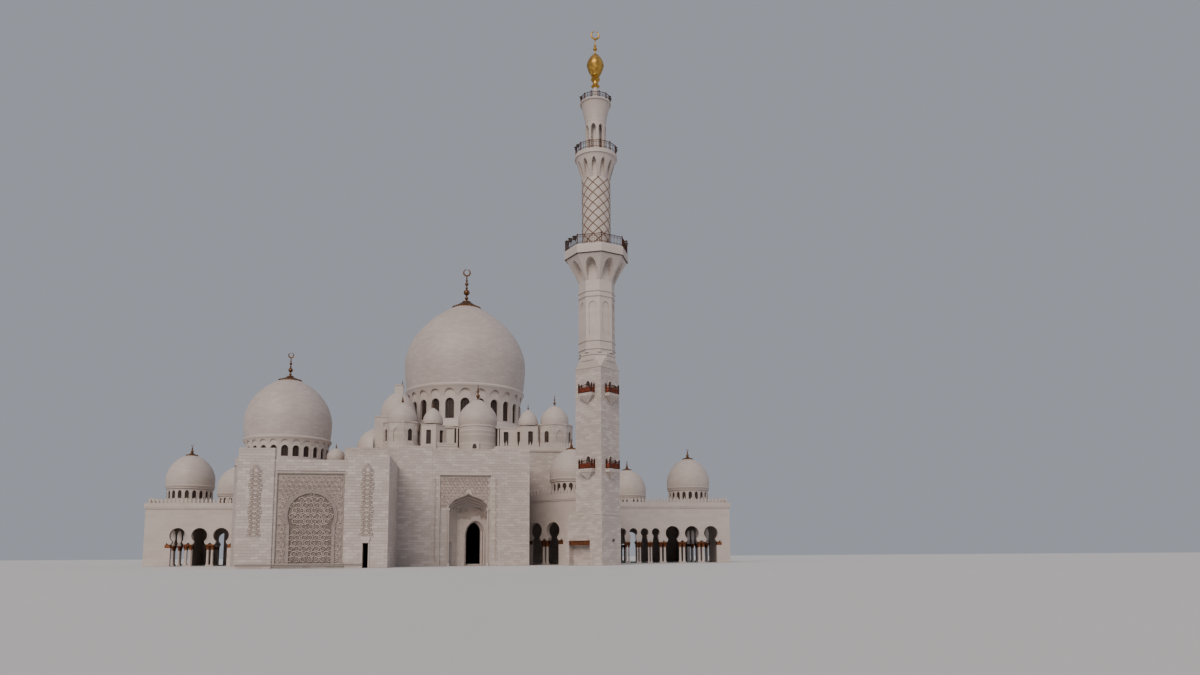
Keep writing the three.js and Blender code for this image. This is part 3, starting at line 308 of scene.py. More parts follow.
def clouded(name, roughness, scale, first, second, low=0.0, high=1.0, detail=4.0, shine=0.5):
    """A plain finish of two tones in clouds, which are sharper the nearer low and high are."""
    f = Finish(name, roughness)
    f.sockets["Specular IOR Level"].default_value = shine
    f.put(f.sockets["Base Color"], f.mix(f.ramp(f.noise(scale, detail), low, high), first, second))
    return f.material


MAIN_TONE = (0.45, 0.38, 0.35, 1.0)
ODD_TONE = (0.62, 0.545, 0.51, 1.0)
DOME_TONE = (0.46, 0.39, 0.365, 1.0)
DOME_ODD = (0.54, 0.47, 0.44, 1.0)
JOINT = (0.27, 0.22, 0.2, 1.0)
SMOOTH = (0.53, 0.455, 0.42, 1.0)
SMOOTH_ODD = (0.47, 0.4, 0.365, 1.0)
SMOOTH_JOINT = (0.35, 0.29, 0.265, 1.0)
# Lighter tones for the carved relief paint the light that falls on its raised parts.
RELIEF_PAINTED_LIGHT = (0.68, 0.6, 0.56, 1.0)
RELIEF_PAINTED_LIGHT_ODD = (0.6, 0.52, 0.48, 1.0)
THIN_JOINTS = {"gap": 0.0006, "depth": 0.0007}

wall_stone = stone("ashlar_wall", "wall", MAIN_TONE, ODD_TONE, JOINT, 0.05, 0.125)
fine_stone = stone("fine_marble", "wall", SMOOTH, SMOOTH_ODD, SMOOTH_JOINT, 0.09, 0.2, **THIN_JOINTS)
# The relief's stone, in the lighter tones that paint light on its raised parts.
relief_painted_light_stone = stone("relief_marble_painted_light", "wall", RELIEF_PAINTED_LIGHT, RELIEF_PAINTED_LIGHT_ODD, SMOOTH_JOINT, 0.09, 0.2, **THIN_JOINTS)
# A near-black stone that paints the deep shade in the carving's hollows inside the field's arch.
deep_painted_shade_stone = stone("deep_painted_shade_stone", "wall", (0.15, 0.12, 0.105, 1.0), (0.19, 0.155, 0.135, 1.0),
                      (0.16, 0.125, 0.11, 1.0), 0.09, 0.2, 0.7)
# A darker stone that paints the shade in the carving's hollows, on plates behind the relief and on the main
# doorway's lining; the field's frame band and its foot mouldings take it too.
painted_shade_stone = stone("painted_shade_stone", "wall", (0.31, 0.255, 0.235, 1.0), (0.36, 0.3, 0.28, 1.0), JOINT,
                     0.09, 0.2, 0.7)
main_dome_stone = stone("main_dome_tiles", 1.6, DOME_TONE, DOME_ODD, JOINT, 0.055, 0.15)
left_dome_stone = stone("left_dome_tiles", 0.97, DOME_TONE, DOME_ODD, JOINT, 0.05, 0.13)
lesser_dome_stone = stone("lesser_dome_tiles", 0.5, SMOOTH, SMOOTH_ODD, JOINT, 0.045, 0.12, depth=0.001)
roof_stone = stone("roof_paving", "flat", (0.5, 0.45, 0.4, 1.0), (0.42, 0.38, 0.34, 1.0),
                   (0.3, 0.27, 0.24, 1.0), 0.12, 0.12, 0.7)
gold = metal("gilding", (0.6, 0.36, 0.07, 1.0), (0.24, 0.12, 0.03, 1.0), 0.34)
# Gilding darkened to paint the shade on the finials of the domes and the roof; the minaret's bulb and neck
# keep the lit gilding.
painted_shade_gilding = metal("painted_shade_gilding", (0.2, 0.095, 0.04, 1.0), (0.07, 0.032, 0.018, 1.0), 0.4)
capital_bronze = metal("capital_gilding", (0.27, 0.105, 0.045, 1.0), (0.1, 0.035, 0.02, 1.0), 0.45, 24.0)
rail_bronze = metal("railing_bronze", (0.13, 0.05, 0.035, 1.0), (0.05, 0.025, 0.02, 1.0), 0.5, 30.0)
rust = metal("balcony_rust", (0.42, 0.1, 0.045, 1.0), (0.2, 0.045, 0.03, 1.0), 0.5, 30.0)
# Dark window glass; the same dark also paints the shadow under the lanterns' domes and the shade in the slots
# and the vent of the centre group.
glass_and_painted_shade = clouded("glass_and_painted_shade", 0.45, 6.0, (0.03, 0.022, 0.02, 1.0), (0.07, 0.045, 0.035, 1.0), 0.4,
                       0.7, shine=0.25)
# Near-black grilles and lamps; the same dark also paints the shadow inside the minaret's passage and makes a
# dark ring where the first gallery's corbels meet its slab.
grille_dark_and_painted_shade = clouded("grille_dark_and_painted_shade", 0.55, 40.0, (0.035, 0.02, 0.014, 1.0), (0.075, 0.045, 0.03, 1.0))
lattice_brown = clouded("lattice_brown", 0.6, 8.0, (0.13, 0.075, 0.05, 1.0), (0.24, 0.16, 0.115, 1.0))
floor_pale = clouded("floor_pale", 0.6, 0.4, (0.62, 0.61, 0.6, 1.0), (0.66, 0.65, 0.64, 1.0), detail=2.0)

# Endings of node names, with the finish that each gets
NODE_FINISHES = {
    ("_wall", "rear_block", "minaret_base", "minaret_square_shaft", "link_side"): wall_stone,
    ("_roof", "_floor"): roof_stone,
    ("_finial",): gold,
    ("_railing_1", "_railing_2", "_railing_3"): rail_bronze,
}


def dress_nodes():
    """Gives every carried-over solid its finish."""
    for name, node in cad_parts.items():
        finish = next((f for endings, f in NODE_FINISHES.items() if name.endswith(endings)), fine_stone)
        node.data.materials.clear()
        node.data.materials.append(finish)


# Arches, windows and bays. An arch is a list of (along, z), from its left foot over its head to its right.
def pointed(half, foot, spring, top, steps=6):
    """A door or window with a slightly pointed arch."""
    head = []
    for i in range(2 * steps + 1):
        along = i / steps - 1
        head.append((half * along, spring + (top - spring) * (1 - abs(along) ** 1.9) ** 0.6))
    return [(-half, foot)] + head + [(half, foot)]


def horseshoe(half, wide, centre, foot, reach, steps=9):
    """A keyhole arch: a round head on a neck that widens to its reach above the capitals."""
    lower = acos(half / wide)
    neck = centre - wide * sin(lower)
    side = []
    for i in range(4):
        share = i / 4
        side.append((-half - (reach - half) * (1 - share) ** 1.6, foot + (neck - foot) * share))
    head = []
    for i in range(2 * steps + 1):
        angle = pi + lower - i / (2 * steps) * (pi + 2 * lower)
        head.append((wide * cos(angle), centre + wide * sin(angle)))
    return side + head + [(-u, z) for u, z in reversed(side)]


def shifted(points, u):
    return [(p[0] + u, p[1]) for p in points]


def across(line, i):
    """The direction square to a line of (along, z) at one of its points, to the left of its way."""
    ahead, behind = line[min(i + 1, len(line) - 1)], line[max(i - 1, 0)]
    du, dz = ahead[0] - behind[0], ahead[1] - behind[1]
    size = hypot(du, dz) or 1.0
    return -dz / size, du / size


def clockwise(p, middle):
    """The angle of p round middle, from straight down by way of the left."""
    return atan2(middle[0] - p[0], middle[1] - p[1]) % TURN


def edge_of(p, middle, rect):
    """Where a ray from the middle through p meets the sides of the bay."""
    u0, u1, z0, z1 = rect
    du, dz = p[0] - middle[0], p[1] - middle[1]
    reach = []
    if abs(du) > 1e-9:
        reach.append(((u1 if du > 0 else u0) - middle[0]) / du)
    if abs(dz) > 1e-9:
        reach.append(((z1 if dz > 0 else z0) - middle[1]) / dz)
    t = min(reach)
    return (middle[0] + du * t, middle[1] + dz * t)


def crossing(p, q, middle, corner):
    """The point of the line from p to q that lies toward the corner, seen from the middle."""
    du, dz = corner[0] - middle[0], corner[1] - middle[1]
    eu, ez = q[0] - p[0], q[1] - p[1]
    cross = eu * dz - ez * du
    t = ((middle[0] - p[0]) * dz - (middle[1] - p[1]) * du) / cross if abs(cross) > 1e-12 else 0.5
    return (p[0] + eu * t, p[1] + ez * t)


def paired(hole, rect, middle, closed):
    """Pairs each point of a hole's outline with one on the sides of its bay, corners included."""
    u0, u1, z0, z1 = rect
    pairs = [(p, edge_of(p, middle, rect)) for p in hole]
    if not closed:
        pairs[0] = (hole[0], (u0, z0))
        pairs[-1] = (hole[-1], (u1, z0))
    corners = [(u0, z1), (u1, z1)] + ([(u1, z0), (u0, z0)] if closed else [])
    ring = []
    for i in range(len(hole) if closed else len(hole) - 1):
        p, q = hole[i], hole[(i + 1) % len(hole)]
        start = clockwise(p, middle)
        span = (clockwise(q, middle) - start) % TURN
        ring.append(pairs[i])
        inside = [((clockwise(c, middle) - start) % TURN, c) for c in corners]
        for _, corner in sorted(item for item in inside if 1e-6 < item[0] < span - 1e-6):
            ring.append((crossing(p, q, middle, corner), corner))
    ring.append(pairs[0] if closed else pairs[-1])
    return ring


def bay(shape, arch, u, rect, front, back, place, rows=1, closed=True, rear=False, middle=None):
    """One bay of wall with an arched hole. rect is (left, right, bottom, top) of the bay. front and back are
    the depths of its two faces. closed is a hole with a sill, and rear adds the back face."""
    hole = shifted(arch, u)
    middle = middle or (u, (hole[0][1] + max(p[1] for p in hole)) / 2)
    ring = paired(hole, rect, middle, closed)
    for depth in (front, back) if rear else (front,):
        lines = []
        for k in range(rows + 1):
            t = k / rows
            lines.append([(a[0] + (b[0] - a[0]) * t, depth, a[1] + (b[1] - a[1]) * t) for a, b in ring])
        shape.grid(lines, place=place)
    shape.grid([[(p[0], depth, p[1]) for p, _ in ring] for depth in (front, back)], place=place)


def infill(shape, arch, u, depth, place):
    """A flat pane that fills an arched hole."""
    shape.add([(a, depth, z) for a, z in shifted(arch, u)], [list(range(len(arch)))], place)


def bars(shape, arch, depth, place, rises, rungs, thick):
    """The bars of a window grille."""
    half, foot = arch[-1]
    spring = arch[1][1]
    top = max(z for _, z in arch)
    for i in range(1, rises + 1):
        u = 2 * half * i / (rises + 1) - half
        shape.box(u - thick, u + thick, depth - 0.1, depth, foot, spring + (top - spring) * 0.8, place)
    for i in range(1, rungs + 1):
        z = foot + (spring - foot) * i / rungs
        shape.box(-half, half, depth - 0.08, depth, z - thick, z + thick, place)


def rim(shape, arch, u, place, wide=0.26, proud=0.07):
    """The raised band round an arch."""
    line = shifted(arch, u)
    outer = []
    for i, point in enumerate(line):
        du, dz = across(line, i)
        outer.append((point[0] + du * wide, point[1] + dz * wide))
    ridge = [((p[0] + q[0]) / 2, (p[1] + q[1]) / 2) for p, q in zip(line, outer)]
    edges = ((line, 0.02), (line, -proud), (ridge, -proud * 1.3), (outer, -proud), (outer, 0.02))
    shape.grid([[(p[0], depth, p[1]) for p in points] for points, depth in edges], place=place)


def windowed_drum(name, axis, radius, wall, z0, z1, count, window, grille, extra, replaces=None, start=0.5):
    """A round wall with a ring of arched windows, their surrounds and their panes. window is (half, sill,
    spring, top), grille is (rises, rungs, thickness), and extra are profiles turned round the same axis."""
    shape, glass, lattice = Shape(axis), Shape(axis), Shape(axis)
    arch = pointed(*window)
    half = window[0]
    pitch = TURN * radius / count
    for i in range(count):
        place = wrapped(radius, axis, TURN * (i + start) / count)
        bay(shape, arch, 0.0, (-pitch / 2, pitch / 2, z0, z1), 0.0, wall * 0.7, place, 2)
        rim(shape, arch, 0.0, place, half * 0.2, half * 0.08)
        infill(glass, arch, 0.0, wall * 0.55, place)
        bars(lattice, arch, wall * 0.52, place, *grille)
    for profile in extra:
        shape.turn(profile, 96)
    shape.build(name, fine_stone, "marble", z0, replaces=replaces)
    glass.build(name + "_panes", glass_and_painted_shade, "bronze", z0)
    lattice.build(name + "_grilles", grille_dark_and_painted_shade, "bronze", z0)


# Domes
def dome_curve(radius, foot, bottom, spring, top, steps, slim=1.2):
    """The outer line of a dome that swells above its foot and closes in a point, sharper with slim."""
    points = []
    for i in range(steps // 3 + 1):
        along = i / (steps // 3)
        points.append((foot + (radius - foot) * sin(along * pi / 2), bottom + (spring - bottom) * along))
    for i in range(1, steps + 1):
        angle = i / steps * pi / 2
        points.append((radius * max(cos(angle), 0.0) ** slim, spring + (top - spring) * sin(angle) ** 1.03))
    return points


def dome_skin(name, axis, curve, segments, height, tiles=lesser_dome_stone, slot="marble", replaces=None):
    skin = Shape(axis)
    skin.turn(curve, segments)
    skin.build(name, tiles, slot, height, 60.0, replaces)


def arc(radius, z, size, reach, steps):
    """Points of (radius, z) on a round moulding, from reach below its middle to reach above, in radians."""
    angles = [reach * (2 * i / steps - 1) for i in range(steps + 1)]
    return [(radius + size * cos(a), z + size * sin(a)) for a in angles]


def bead(radius, z, size):
    """A small round moulding at the top of a drum, as a profile."""
    return [(radius - size, z - size)] + arc(radius, z, size, pi / 2, 6) + [(radius - size, z + size)]


def moon(shape, z, radius):
    """A crescent on its back, open at the top, as a round bar that tapers to its horns."""
    path = []
    thick = []
    steps = 22
    opening = 0.16
    x, y = shape.axis
    for i in range(steps + 1):
        share = i / steps
        angle = pi / 2 + opening + share * (TURN - 2 * opening)
        bulge = sin(share * pi)
        path.append((radius * cos(angle) * 0.86, 0.0, radius * sin(angle) * 0.86 - radius * 0.05 * bulge))
        thick.append(radius * (0.09 + 0.14 * bulge))
    shape.tube(path, thick, 8, lambda p: (x + p[0], y + p[1], z + p[2]), flat=0.6)


def height_on(curve, radius):
    """The height of a dome's outer line at a radius, above its widest place."""
    widest = max(range(len(curve)), key=lambda i: curve[i][0])
    for (r0, z0), (r1, z1) in zip(curve[widest:], curve[widest + 1:]):
        if r1 <= radius <= r0:
            return z0 + (z1 - z0) * (r0 - radius) / max(r0 - r1, 1e-9)
    return curve[-1][1]


def gilded_finial(name, axis, base, tip, disc, ball, moon_radius, curve, replaces=None):
    """A gilded finial: a scalloped disc on the crown, a bell, balls of falling size, and a crescent."""
    shape, skirt = Shape(axis), Shape(axis)
    h = tip - base
    stem_top = tip - 1.9 * moon_radius
    scallops = 24
    edge = height_on(curve, disc)
    thick = disc * 0.06 + 0.16
    line = [(disc * 0.96, edge - thick * 0.7), (disc, edge), (disc * 0.98, edge + thick * 0.8),
            (disc * 0.7, height_on(curve, disc * 0.7) + thick * 0.9), (disc * 0.35, base + thick),
            (disc * 0.24, base + thick * 2.0)]
    skirt.turn(line, 96, lambda angle, _: 1 + 0.04 * cos(angle * scallops))
    knob = arc(0.0, edge + thick * 0.9, disc * 0.06, 1.2, 3)
    for i in range(scallops):
        angle = TURN * i / scallops
        skirt.turn(knob, 6, axis=(axis[0] + disc * 0.97 * cos(angle), axis[1] + disc * 0.97 * sin(angle)))
    # The finial is built in the gilding darkened as painted shade.
    skirt.build(name + "_skirt", painted_shade_gilding, "gold", base, 50.0)
    stem = [(disc * 0.3, base), (disc * 0.28, base + thick * 2), (ball * 0.95, base + h * 0.06),
            (ball * 0.42, base + h * 0.11)]
    for share, size in ((0.17, 0.6), (0.33, 1.0), (0.46, 0.42), (0.57, 0.6), (0.67, 0.36)):
        z = base + h * share
        r = ball * size
        stem += [(ball * 0.24, z - r * 1.02)] + arc(0.0, z, r, 1.25, 6)
    stem += [(ball * 0.22, base + h * 0.71), (ball * 0.16, stem_top), (0.0, stem_top)]
    shape.turn(stem, 24)
    moon(shape, tip - moon_radius, moon_radius)
    shape.build(name, painted_shade_gilding, "gold", base, 50.0, replaces)


def flare_ring(shape, count, r0, z0, r1, z1, width, height, curve, turned=0.0, rows=3, prism=False,
               back=None, degrees=0.0):
    """A corbelled flare from radius r0 up to r1 with an arched niche in each bay. width and height are the
    niche's shares of the bay, and back is the radius of its back. A prism has flat sides, else it's round."""
    x, y = shape.axis
    pitch = TURN / count
    half_bay = tan(pitch / 2) if prism else pitch / 2
    top = z0 + (z1 - z0) * height
    spring = z0 + (top - z0) * 0.45
    arch = pointed(width, z0, spring, top, 5)

    def reach(p):
        if p[1] < 0.5:
            return r0 + (r1 - r0) * min(max((p[2] - z0) / (z1 - z0), 0.0), 1.0) ** curve
        return r0 if back is None else back

    for k in range(count):
        angle = pitch * (k + turned) + radians(degrees)

        def place(p):
            out = reach(p)
            if not prism:
                a = angle + p[0] * half_bay
                return (x + out * sin(a), y - out * cos(a), p[2])
            c, s = cos(angle), sin(angle)
            u = p[0] * half_bay * out
            return (x + out * s + u * c, y - out * c + u * s, p[2])

        bay(shape, arch, 0.0, (-1.0, 1.0, z0, z1), 0.0, 1.0, place, rows, closed=False, middle=(0.0, spring))
        infill(shape, arch, 0.0, 1.0, place)


def great_dome(name, axis, dome, segments, middle, tiles, drum, lip, base, window, grille, hood, finial,
               turned):
    """A great dome with its finial, on a drum with windows and a scalloped flare. drum is (radius, wall,
    foot, flare's foot). lip is (its radius, its top) and offsets from there. base is the profile below the
    windows, hood is (top, height, middle), and turned is the first window's place in sides."""
    curve = dome_curve(**dome)
    dome_skin(name + "_dome_skin", axis, curve, segments, middle, tiles, "ashlar", name + "_dome")
    radius, wall, low, flare = drum
    reach, top = lip[0]
    edge = [(reach + out, top + z) for out, z in lip[1:]] + [(dome["foot"], dome["bottom"])]
    windowed_drum(name + "_drum_wall", axis, radius, wall, low, flare, 24, window, grille, (edge, base),
                  name + "_drum", turned)
    scallops = Shape(axis)
    flare_ring(scallops, 24, radius, flare, reach, hood[0], 0.68, hood[1], 1.5, turned)
    scallops.build(name + "_drum_scallops", fine_stone, "marble", hood[2])
    gilded_finial(name + "_dome_finial", axis, dome["top"], *finial, curve, name + "_finial")


def great_domes():
    foot, step, r = 16.2, 16.55, 15.2
    base = [(foot, HIGH_ROOF), (foot, 34.8), (step, 35.0), (step, 35.35), (r + 0.55, 36.7), (r + 0.55, 37.0),
            (r, 37.1)]
    lip = ((16.1, 46.5), (-0.3, -0.85), (0.0, -0.75), (0.12, -0.55), (0.12, -0.15), (0.0, 0.0))
    dome = {"radius": 16.5, "foot": 15.9, "bottom": 46.7, "spring": 53.8, "top": 72.1, "steps": 36,
            "slim": 1.525}
    great_dome("main", MAIN_AXIS, dome, 128, 52.0, main_dome_stone, (r, 1.0, 37.0, 43.1), lip, base,
               (1.18, 37.35, 41.6, 42.7), (2, 6, 0.05), (45.8, 0.78, 44.0), (82.4, 4.0, 0.85, 1.05), 0.0)
    r, low = 8.7, LOW_ROOF + 0.7
    base = [(r - 0.2, LOW_ROOF), (r - 0.2, low), (r, low)]
    lip = ((9.25, 27.55), (-0.2, -0.55), (0.0, -0.45), (0.08, -0.3), (0.08, -0.1), (0.0, 0.0))
    dome = {"radius": 9.27, "foot": 9.0, "bottom": 27.7, "spring": 31.4, "top": 41.55, "steps": 30,
            "slim": 1.24}
    great_dome("left", LEFT_AXIS, dome, 112, 31.0, left_dome_stone, (r, 0.8, low, 25.75), lip, base,
               (0.7, 23.2, 24.9, 25.55), (1, 4, 0.04), (27.15, 0.76, 26.0), (47.6, 2.45, 0.5, 0.62), 0.5)


def arcade_domes():
    for name, axis in ARCADE_DOMES.items():
        size = 0.88 if name == "dome_link" else 1.0

        def up(z):
            return WING_ROOF + (z - WING_ROOF) * size

        def scaled(points):
            return [(r * size, up(z)) for r, z in points]

        curve = dome_curve(5.4 * size, 5.3 * size, up(18.6), up(20.4), up(26.5), 21, 1.17)
        dome_skin(name + "_skin", axis, curve, 80, 19.5, replaces=name)
        rings = (bead(5.3, 18.75, 0.16), bead(5.15, 18.15, 0.12), [(5.0, 18.0), (5.35, 18.5), (5.35, 18.7)],
                 [(5.12, WING_ROOF), (5.12, 14.5), (5.0, 14.6)])
        windowed_drum(name + "_drum", axis, 5.0 * size, 0.3, up(14.6), up(18.05), 20,
                      (0.44, up(15.75), up(17.1), up(17.65)), (1, 2, 0.03), [scaled(ring) for ring in rings])
        gilded_finial(name + "_finial", axis, up(26.5), up(29.0), 1.35 * size, 0.34 * size, 0.26 * size,
                      curve)


# Arcades
WIDE = {"half": 1.1, "wide": 1.72, "centre": 6.97, "pitch": 4.7, "foot": 1.3}
NARROW = {"half": 0.6, "wide": 0.97, "centre": 7.2, "pitch": 2.7, "foot": 0.72}
ARCADE_HEAD = 12.9
ARCADE_GAP = 0.003
COLUMN = ((0.0, 0.0), (1.6, 0.0), (1.6, 0.2), (1.35, 0.24), (1.45, 0.34), (1.1, 0.42), (1.0, 0.6),
          (0.94, 3.5), (1.08, 3.62), (0.9, 3.7))
BELL = ((0.95, 3.66), (1.2, 3.74), (1.1, 3.82), (1.3, 4.1), (1.75, 4.45), (1.95, 4.5), (1.6, 4.56),
        (1.9, 4.7))
PLINTH = 0.4
MERLON = 1.45


def column(shaft, capital, u, place, radius):
    """One column: a moulded foot, a shaft that narrows a little, and a leafy capital."""
    def moved(p):
        return place((p[0] + u, p[1] + ARCADE_WALL / 2, p[2]))

    def leaves(angle, z):
        return 1 + 0.1 * cos(angle * 8) * min(1.0, max(0.0, (z - 3.7) / 0.8))

    shaft.turn([(radius * share, z) for share, z in COLUMN], 14, place=moved)
    capital.turn([(radius * share, z) for share, z in BELL], 16, leaves, moved)


def support(shaft, capital, u, gap, place):
    """A pair of columns under one capital block."""
    half = min(gap / 2, 0.95)
    for side in (-1, 1):
        column(shaft, capital, u + side * half * 0.5, place, min(0.29, half * 0.32))
    capital.box(u - half, u + half, 0.0, ARCADE_WALL, 4.68, 4.92, place)
    shaft.box(u - half * 0.95, u + half * 0.95, 0.04, ARCADE_WALL - 0.04, 0.0, 0.22, place)


def crenel(shape, length, place, pitch=0.86, base=CORNICE_TOP, past=0.0):
    """A row of pointed merlons on a low plinth, which runs past each end of its wall by a given length."""
    start = 0.3
    count = max(1, round((length - 2 * start) / pitch))
    step = (length - 2 * start) / count
    shape.box(-past, length + past, 0.0, PLINTH, base, base + 0.22, place)
    half = pitch * 0.33
    side = [(0.8, 0.2), (0.55, 0.42), (1.0, 0.66), (0.62, 0.92)]
    outline = [(-half * a, z) for a, z in side] + [(0.0, MERLON)] + [(half * a, z) for a, z in reversed(side)]
    for i in range(count):
        u = start + step * (i + 0.5)
        shape.prism([(a + u, base + z) for a, z in outline], 0.08, 0.32, place)


def cornice(shape, length, place, corners):
    """The moulded ledge at the head of an arcade wall. At corners it runs round the wall's ends."""
    below = ARCADE_HEAD
    for z, out in ((13.0, 0.08), (13.25, 0.16), (13.5, 0.25), (CORNICE_TOP, 0.25)):
        past = out if corners else 0.0
        shape.box(-past, length + past, -out, ARCADE_WALL, below, z, place)
        below = z


def arcade(name, length, runs, place, replaces=None, corners=True):
    """A whole arcade wall: piers, arches, columns, cornice and merlons. runs are (kind, centres) of its
    arches, and a wall without corners ends between two others."""
    wall, shaft, capital = Shape(), Shape(), Shape()
    bays = []
    for kind, centres in runs:
        half = kind["pitch"] / 2
        bays += [[c - half, c + half, kind, c] for c in centres]
    for before, after in zip(bays, bays[1:]):
        before[1] = after[0] = (before[3] + before[2]["foot"] + after[3] - after[2]["foot"]) / 2
    low = ARCH_FOOT - 0.1
    for u0, u1, kind, c in bays:
        arch = horseshoe(kind["half"], kind["wide"], kind["centre"], low, kind["foot"] + 0.12)
        bay(wall, arch, c, (u0, u1, low, ARCADE_HEAD), 0.0, ARCADE_WALL, place, 1, False, True,
            (c, kind["centre"]))
        rim(wall, arch, c, place)
    for before, after in zip(bays, bays[1:]):
        u = before[1]
        gap = after[3] - after[2]["foot"] - before[3] - before[2]["foot"]
        support(shaft, capital, u, gap, place)
        reach = gap / 2 - 0.12
        wall.box(u - reach, u + reach, 0.01, ARCADE_WALL - 0.01, ARCH_FOOT - 0.12, ARCH_FOOT - 0.08, place)
    first, last = bays[0], bays[-1]
    for a, b in ((0.0, first[0]), (last[1], length)):
        wall.box(a, b, 0.0, ARCADE_WALL, 0.0, ARCADE_HEAD, place)
    left_pier = first[3] - first[2]["foot"] - 0.12
    right_pier = last[3] + last[2]["foot"] + 0.12
    wall.box(first[0], left_pier, 0.0, ARCADE_WALL, 0.0, low, place)
    wall.box(right_pier, last[1], 0.0, ARCADE_WALL, 0.0, low, place)
    for a, b in ((left_pier - 1.2, left_pier), (right_pier, right_pier + 1.2)):
        capital.box(a, b, -0.04, ARCADE_WALL + 0.02, 4.15, 4.92, place)
    cornice(wall, length, place, corners)
    crenel(wall, length, place, past=0.0 if corners else ARCADE_WALL - PLINTH)
    wall.build(name, fine_stone, "marble", replaces=replaces)
    shaft.build(name + "_columns", fine_stone, "marble", smooth=45.0)
    capital.build(name + "_capitals", capital_bronze, "gold", smooth=45.0)


def evenly(length, count):
    start = (length - (count - 1) * WIDE["pitch"]) / 2
    return [start + i * WIDE["pitch"] for i in range(count)]


def wing(side, plan, front_runs):
    """One wing's front, outer side and back, with a small gap to the blocks beside it."""
    left, right, front, back = plan["left"], plan["right"], plan["front"], plan["back"]
    width = right - left - ARCADE_GAP
    depth = back - front - ARCADE_WALL
    centres = evenly(depth, 5)
    if side == "right":
        left += ARCADE_GAP
        outer = placed(right, front + ARCADE_WALL, 90)
    else:
        right -= ARCADE_GAP
        outer = placed(left, back - ARCADE_WALL, -90)
        centres = [c - ARCADE_WALL for c in centres]
    arcade(side + "_arcade_front", width, front_runs, placed(left, front), side + "_wing_front")
    arcade(side + "_arcade_side", depth - ARCADE_WALL, [(WIDE, centres)], outer, side + "_wing_outer_walls",
           False)
    arcade(side + "_arcade_back", width, [(WIDE, evenly(width, 3))], placed(right, back, 180))


def arcades():
    wing("left", LEFT_WING, [(WIDE, (7.1, 11.8, 16.5))])
    wing("right", RIGHT_WING, [(NARROW, (11.9, 14.6, 17.3, 20.0)), (WIDE, (24.1, 28.8, 33.5))])
    arcade("link_arcade", LINK["length"], [(WIDE, (3.2, 7.9))], placed(LINK["x"], LINK["y"], -45),
           "link_front")


# Roof group, in a row in front of the main drum. Turrets are (x, turned in degrees, finial's tip).
GROUP_Y = -39.0
TURRETS = {"turret_left": (-14.5, 31.0, 38.5), "turret_right": (20.3, -33.5, 39.6)}
LANTERNS = {"lantern_left": (-7.65, -16.0), "lantern_right": (14.1, 7.5)}
LANTERN_LIMITS = (-10.75, 16.55)


def small_finial(shape, axis, base, tip, ball):
    """A short gilded spike with three balls."""
    h = tip - base
    line = [(ball * 1.1, base - 0.12), (ball * 0.8, base + 0.05)]
    for share, size in ((0.2, 1.0), (0.48, 0.65), (0.7, 0.4)):
        z = base + h * share
        r = ball * size
        line.append((ball * 0.24, z - r * 1.1))
        line += [(r * cos(a), z + r * sin(a)) for a in (-1.1, -0.5, 0.0, 0.5, 1.1)]
    line += [(ball * 0.16, base + h * 0.8), (0.0, tip)]
    shape.turn(line, 16, axis=axis)


def tower_body(wall, pane, apothem, top, window, sides, turned, blind=None):
    """A many-sided tower with a window on every side, or on every second one with blind arches between."""
    half = apothem * tan(pi / sides)
    side = (-half, half, HIGH_ROOF, top)
    for i in range(sides):
        place = faceted(apothem, turned + 360 / sides * i, wall.axis)
        if blind and i % 2:
            bay(wall, blind, 0.0, side, 0.0, 0.2, place)
            infill(wall, blind, 0.0, 0.2, place)
        else:
            bay(wall, window, 0.0, side, 0.0, 0.25, place)
            infill(pane, window, 0.0, 0.24, place)
            rim(wall, window, 0.0, place, 0.16, 0.05)


def turrets(gilt):
    for name, (x, degrees, tip) in TURRETS.items():
        axis = (x, GROUP_Y)
        body, pane = Shape(axis), Shape(axis)
        tower_body(body, pane, 3.9, 31.6, pointed(0.55, 27.6, 29.7, 30.3), 8, degrees,
                   pointed(0.7, 27.3, 29.6, 30.4))
        for line in ([(4.22, 31.55), (4.34, 31.7), (4.34, 31.95), (4.0, 32.08), (3.3, 32.15)],
                     [(4.34, HIGH_ROOF), (4.34, 26.4), (4.22, 26.55)]):
            body.turn(line, 8, start=0.5 + degrees / 45)
        body.build(name + "_body", wall_stone, "marble", 28.0, replaces=name)
        pane.build(name + "_windows", glass_and_painted_shade, "bronze", 28.0)
        dome_skin(name + "_dome", axis, dome_curve(3.28, 3.2, 32.1, 33.0, 36.8, 21, 1.5), 64, 32.0)
        small_finial(gilt, axis, 36.75, tip, 0.3)


def lanterns(gilt):
    for name, (x, degrees) in LANTERNS.items():
        axis = (x, GROUP_Y)
        body, pane = Shape(axis), Shape(axis)
        tower_body(body, pane, 2.9, 31.2, pointed(0.56, 27.0, 30.05, 30.2), 6, degrees)
        body.turn([(3.35, 31.18), (3.46, 31.25), (3.46, 31.42), (3.3, 31.45), (0.5, 31.45)], 6,
                  start=degrees / 60)
        low, high = LANTERN_LIMITS
        for shape in (body, pane):
            shape.verts = [(min(max(v[0], low), high), v[1], v[2]) for v in shape.verts]
        body.build(name + "_body", fine_stone, "marble", 28.0, replaces=name)
        # A dark ring under the dome, in the glass's dark, paints the shadow beneath its eaves.
        pane.turn([(1.8, 31.4), (1.8, 31.85)], 32)
        pane.build(name + "_windows", glass_and_painted_shade, "bronze", 28.0)
        curve = [(0.5, 31.8), (2.25, 31.8)] + dome_curve(2.3, 2.25, 31.95, 32.3, 35.7, 18, 1.5)
        dome_skin(name + "_dome", axis, curve, 48, 31.7)
        small_finial(gilt, axis, 35.65, 37.1, 0.2)


